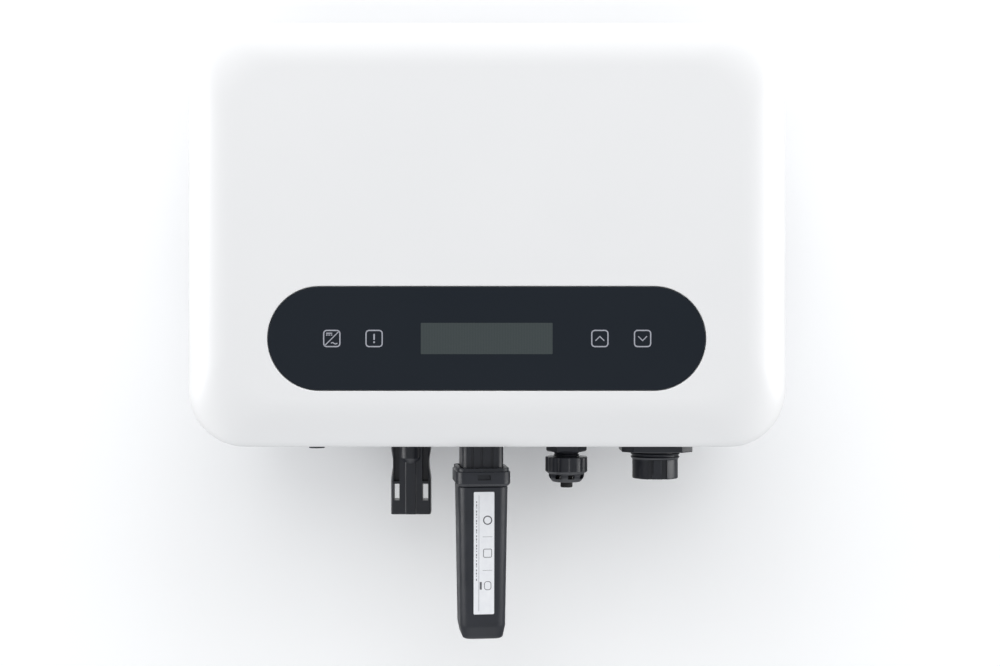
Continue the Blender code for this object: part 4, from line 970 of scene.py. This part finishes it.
def vent_valve():
    """Breather with a round rim and a coin slot."""
    end = -108.4 * MM
    profile = filleted([(1 * MM, end), (4.2 * MM, end, 0.6 * MM), (4.5 * MM, FITTING_TOP - 2 * MM),
                        (4.5 * MM, FITTING_TOP), (3 * MM, FITTING_TOP), mm(3, -96.2), (MM, -96.2 * MM)],
                       0.3 * MM)
    valve = solid(turned(profile, 48))
    cut(valve, solid(box((-6 * MM, -0.6 * MM, end - MM), (6 * MM, 0.6 * MM, end + 1.8 * MM))))
    soften(valve, 0.15 * MM)
    put(valve, "vent_cap", "black_plastic", "vent_valve", fitting_place("vent_valve"))


# ---- dongle

DONGLE_PLACE = fitting_place("dongle_case")
DONGLE_TURN = math.radians(6.5)
NECK = mm(20.7, 26)
NECK_END = -121.2 * MM
COLLAR = mm(27.2, 34)
COLLAR_TOP = -115.2 * MM
COLLAR_END = -123 * MM
COLLAR_FLOOR = -122.6 * MM
CASE_TOP_Z = -124.5 * MM
CASE_END_Z = -201 * MM
CASE_TOP = mm(25, 31)
CASE_END = mm(22.8, 28)
CASE_TAPER = CASE_TOP_Z - CASE_END_Z - 5.6 * MM


def put_on_axis(obj, name, slot, node, body="dongle"):
    """Put a piece on the dongle's turned axis."""
    put(obj, name, slot, node, DONGLE_PLACE, (0, 0, DONGLE_TURN), body)


def dongle_port():
    """Hollow neck under the unit, ribbed on its front, with a steel receptacle inside."""
    inner = mm(17, 22)
    ceiling = -104 * MM
    flange_top = FITTING_TOP - GAP
    rings = box_rings(inner, 3 * MM, [(0, ceiling), (0, NECK_END + 0.4 * MM), (-0.3 * MM, NECK_END)])
    rings += box_rings(NECK, 4 * MM, [(0.3 * MM, NECK_END), (0, NECK_END + 0.4 * MM), (0, -104.4 * MM)])
    rings += box_rings(mm(24, 28), 6 * MM, [(0, -104.2 * MM), (0, flange_top)])
    port = solid(rings)
    join(port, solid(turned((mm(8.7, -103), mm(8.7, -92)))))
    grooves = [box((x * MM, -14 * MM, NECK_END - MM), ((x + 1.3) * MM, -12.45 * MM, -105 * MM))
               for x in (-6.2, -1.6, 3.6)]
    cut(port, solid(*grooves))
    put_on_axis(port, "port_neck", "black_plastic", "dongle_port", "unit")
    shell_top = ceiling - GAP
    shell_end = -116 * MM
    rings = box_rings(mm(13, 5.4), 0.8 * MM, [(0, shell_top - MM), (0, shell_end)], 5)
    rings += box_rings(mm(14.4, 7), 1.2 * MM, [(0, shell_end), (0, shell_top)], 5)
    put_on_axis(solid(rings), "port_shell", "bright_steel", "port_receptacle", "unit")


def dongle_collar():
    inside = (NECK[0] + 2 * GAP, NECK[1] + 2 * GAP)
    skirt = (CASE_TOP[0] - 3.2 * MM - 2 * GAP, CASE_TOP[1] - 3.2 * MM - 2 * GAP)
    shoulder = CASE_TOP_Z + GAP
    top = COLLAR_TOP
    rings = box_rings(inside, 4 * MM, [(0, COLLAR_FLOOR), (0, top - 0.4 * MM), (-0.3 * MM, top)])
    outer = filleted([(1.6 * MM, top), (0.7 * MM, top, 0.3 * MM), (0.7 * MM, top - 1.6 * MM),
                      (0, top - 1.9 * MM), (0, COLLAR_END, 0.5 * MM),
                      (1.1 * MM, shoulder, 0.3 * MM), (1.6 * MM, shoulder)], 0.25 * MM)
    rings += box_rings(COLLAR, 5.4 * MM, outer)
    rings += box_rings(skirt, 4 * MM, [(0, shoulder), mm(0.3, -131)])
    collar = solid(rings)
    latch = filleted([mm(-3.2, -121.0), mm(3.2, -121.0), mm(3.2, -118.4),
                      mm(-3.2, -118.4)], 0.3 * MM, closed=True)
    cut(collar, solid(bar(at_y, latch, -19 * MM, -15.6 * MM)))
    cut(collar, solid(box(mm(-6.5, -2.7, -132), mm(6.5, 2.7, -121))))
    put_on_axis(collar, "collar_shell", "black_plastic", "dongle_collar")


def case_rings(profile, grow=0.0):
    """Rings of the tapered case from (inset, height) pairs."""
    corner = 6 * MM
    rings = []
    for inset, z in profile:
        share = min((CASE_TOP_Z - z) / CASE_TAPER, 1)
        inset += grow
        width = CASE_TOP[0] + (CASE_END[0] - CASE_TOP[0]) * share
        depth = CASE_TOP[1] + (CASE_END[1] - CASE_TOP[1]) * share
        outline = rounded(width - 2 * inset, depth - 2 * inset, max(corner - inset, MM), 10)
        rings.append(at_z(outline, z))
    return rings


def dongle_case():
    """Tapered case with a blunt end and a seam round it."""
    wall = 1.6 * MM
    seam_y = 8.2 * MM
    seam = 0.35 * MM
    end = filleted([(0, CASE_TOP_Z - CASE_TAPER + 8 * MM), (0, CASE_END_Z + 6.2 * MM, 7 * MM),
                    (1.3 * MM, CASE_END_Z, 1.6 * MM), (5 * MM, CASE_END_Z)], 0, 10)
    case = solid(case_rings([(wall, CASE_END_Z + 2 * MM), (wall, CASE_TOP_Z), (0.35 * MM, CASE_TOP_Z),
                             (0, CASE_TOP_Z - 0.4 * MM)] + end))
    groove = solid(box((-16 * MM, seam_y, CASE_END_Z - MM),
                       (16 * MM, seam_y + seam, CASE_TOP_Z - 2 * MM)))
    cut(groove, solid(case_rings([(0, CASE_TOP_Z + MM)] + end, seam)))
    cut(case, groove)
    put_on_axis(case, "case_shell", "black_plastic", "dongle_case")


def dongle_label():
    """White label with plain ruled lines and generic marks."""
    lean = math.atan2((CASE_TOP[1] - CASE_END[1]) / 2, CASE_TAPER)
    width, height = 10.3 * MM, 61.3 * MM
    centre_z = -126.9 * MM - height / 2
    half_depth = CASE_TOP[1] / 2 - (CASE_TOP_Z - centre_z) * math.tan(lean)
    place = Vector((math.sin(DONGLE_TURN) * half_depth, -math.cos(DONGLE_TURN) * half_depth, centre_z))
    place += Vector(DONGLE_PLACE)
    turn = (lean, 0, DONGLE_TURN)
    outline = rounded(width, height, 0.6 * MM, 6)
    sheet = solid(bar(at_y, outline, -0.3 * MM, -0.1 * MM))
    put(sheet, "label_sheet", "label_film", "dongle_label", place, turn, "dongle")
    rule = 0.14 * MM
    outlines = [strip([mm(-2.55, -29), mm(-2.55, 29)], rule)]
    for z in mm(8.2, -8.6):
        outlines.append(strip([(-0.7 * MM, z), (4.2 * MM, z)], rule))
    for n in range(26):
        z = (26 - 1.55 * n) * MM
        long = (0.75 + 0.35 * math.sin(2.3 * n)) * MM
        outlines.append(strip([(-3.75 * MM, z), (-3.75 * MM, z - long)], 0.42 * MM))
    outlines.append(rounded(1.0 * MM, 3.8 * MM, 0.1 * MM, 3, mm(-1.6, -16.3)))
    rings = [(circle(2.3 * MM, 40, mm(1.8, 16.5)), circle(1.75 * MM, 40, mm(1.8, 16.5)))]
    for outer, inner, centre in (((4.4, 4.4, 0.8), (3.8, 3.8, 0.5), mm(1.8, 0)),
                                 ((3.6, 4.4, 1.4), (3.0, 3.8, 1.1), mm(1.9, -16.3))):
        rings.append((rounded(*mm(*outer), 6, centre), rounded(*mm(*inner), 6, centre)))
    printed("label_marks", outlines, rings, place, -0.3 * MM, "dark", turn, "dongle")


def dongle_inner():
    """Seal round the neck and the steel plug."""
    floor = COLLAR_FLOOR + GAP
    seal_top = NECK_END - GAP
    rings = box_rings(NECK, 4 * MM, [(0.2 * MM, floor), (0.2 * MM, seal_top)])
    rings += box_rings(NECK, 4 * MM, [(2 * MM, seal_top), (2 * MM, floor)])
    put_on_axis(solid(rings, closed=True), "neck_seal", "black_rubber", "dongle_seal")
    rings = box_rings(mm(11.6, 4), 0.5 * MM, [(0, -125 * MM), (0, -106 * MM)], 5)
    rings += box_rings(mm(12.4, 4.8), 0.8 * MM, [(0, -106 * MM), (0, -134 * MM)], 5)
    put_on_axis(solid(rings), "plug_shell", "bright_steel", "dongle_plug")


# ---- what is carried from the CAD

def carried_nodes():
    """Give every CAD node its procedural material, by the record's slot."""
    for part in frame["record"]["subparts"]:
        mesh = frame["nodes"][part["node"]].data
        mesh.materials.clear()
        mesh.materials.append(FINISHES[part["material_slot"]])
        mesh.shade_smooth()
        mesh.set_sharp_from_angle(angle=math.radians(35))


# ---- stage, light and camera

def stage_material():
    """Matt near-white, seen only from its front."""
    made = bpy.data.materials.new("stage")
    made.use_nodes = True
    nodes, links = made.node_tree.nodes, made.node_tree.links
    nodes.clear()
    paper = nodes.new("ShaderNodeBsdfDiffuse")
    paper.inputs["Color"].default_value = (0.965, 0.967, 0.97, 1.0)
    clear = nodes.new("ShaderNodeBsdfTransparent")
    side = nodes.new("ShaderNodeNewGeometry")
    mix = nodes.new("ShaderNodeMixShader")
    out = nodes.new("ShaderNodeOutputMaterial")
    links.new(side.outputs["Backfacing"], mix.inputs["Fac"])
    links.new(paper.outputs["BSDF"], mix.inputs[1])
    links.new(clear.outputs["BSDF"], mix.inputs[2])
    links.new(mix.outputs["Shader"], out.inputs["Surface"])
    return made


def stage():
    """A pale wall behind the unit that sweeps into a floor far below it."""
    half = 3.0
    floor_z = -1.5
    sweep = 0.4
    line = [(WALL_Y, 2.5)]
    for n in range(13):
        angle = math.radians(90) * n / 12
        line.append((WALL_Y - sweep * (1 - math.cos(angle)), floor_z + sweep * (1 - math.sin(angle))))
    line.append((-3.5, floor_z))
    bm = bmesh.new()
    left = [bm.verts.new((-half, y, z)) for y, z in line]
    right = [bm.verts.new((half, y, z)) for y, z in line]
    for n in range(len(line) - 1):
        bm.faces.new((left[n], left[n + 1], right[n + 1], right[n]))
    made = object_from(bm, "backdrop")
    made.data.shade_smooth()
    made.data.materials.append(stage_material())
    made.visible_shadow = False
    made.visible_diffuse = False
    made.visible_glossy = False


def softbox(name, place, width, height, power):
    """A rectangular lamp aimed at the unit's middle, which the camera doesn't see."""
    data = bpy.data.lights.new(name, "AREA")
    data.shape = "RECTANGLE"
    data.size = width
    data.size_y = height
    data.energy = power
    made = bpy.data.objects.new(name, data)
    made.location = place
    aim = Vector((0, -0.06, -0.05)) - Vector(place)
    made.rotation_euler = aim.to_track_quat("-Z", "Y").to_euler()
    made.visible_camera = False
    bpy.context.scene.collection.objects.link(made)


def sky():
    """Soft light from all round: strongest overhead, and dim low down behind the unit."""
    level, rise, lean, zenith, sides = 0.50, 0.215, 0.556, 1.21, -0.353
    world = bpy.data.worlds.new("studio")
    world.use_nodes = True
    bpy.context.scene.world = world
    nodes, links = world.node_tree.nodes, world.node_tree.links
    direction = nodes.new("ShaderNodeSeparateXYZ")
    links.new(nodes.new("ShaderNodeTexCoord").outputs["Generated"], direction.inputs["Vector"])
    x, y, z = direction.outputs

    def scaled_sum(value, factor, addend):
        node = nodes.new("ShaderNodeMath")
        node.operation = "MULTIPLY_ADD"
        for socket, given in zip(node.inputs, (value, factor, addend)):
            if isinstance(given, float):
                socket.default_value = given
            else:
                links.new(given, socket)
        return node.outputs["Value"]

    upward = scaled_sum(z, zenith, scaled_sum(y, lean, rise))
    strength = scaled_sum(scaled_sum(x, x, 0.0), sides, scaled_sum(z, upward, level))
    background = nodes["Background"]
    background.inputs["Color"].default_value = (0.985, 1.0, 1.02, 1.0)
    links.new(strength, background.inputs["Strength"])


def light():
    sky()
    softbox("left_box", (-1.3, -0.25, 0.1), 1.0, 1.0, 12.8)
    softbox("right_box", (1.3, -0.25, 0.1), 1.0, 1.0, 12.8)
    softbox("top_box", (0, -0.9, 1.2), 1.8, 0.9, 5.2)
    softbox("front_box", (0, -1.6, 0.7), 1.6, 0.8, 2.2)


def camera():
    data = bpy.data.cameras.new("camera")
    data.lens = CAMERA_LENS
    data.sensor_width = 36
    made = bpy.data.objects.new("camera", data)
    made.location = CAMERA_PLACE
    made.rotation_euler = (math.radians(90), 0, 0)
    bpy.context.scene.collection.objects.link(made)
    bpy.context.scene.camera = made
    bpy.context.scene.view_settings.view_transform = "Standard"


def build():
    for make in (carried_nodes, front_cover, display_window, window_symbols, cover_gasket, screws,
                 rear_housing, wall_bracket, hanging_rail, dc_sockets, gland_body, gland_nut,
                 gland_insert, ac_socket, vent_valve, dongle_port, dongle_collar, dongle_case,
                 dongle_label, dongle_inner, stage, light, camera):
        make()


build()
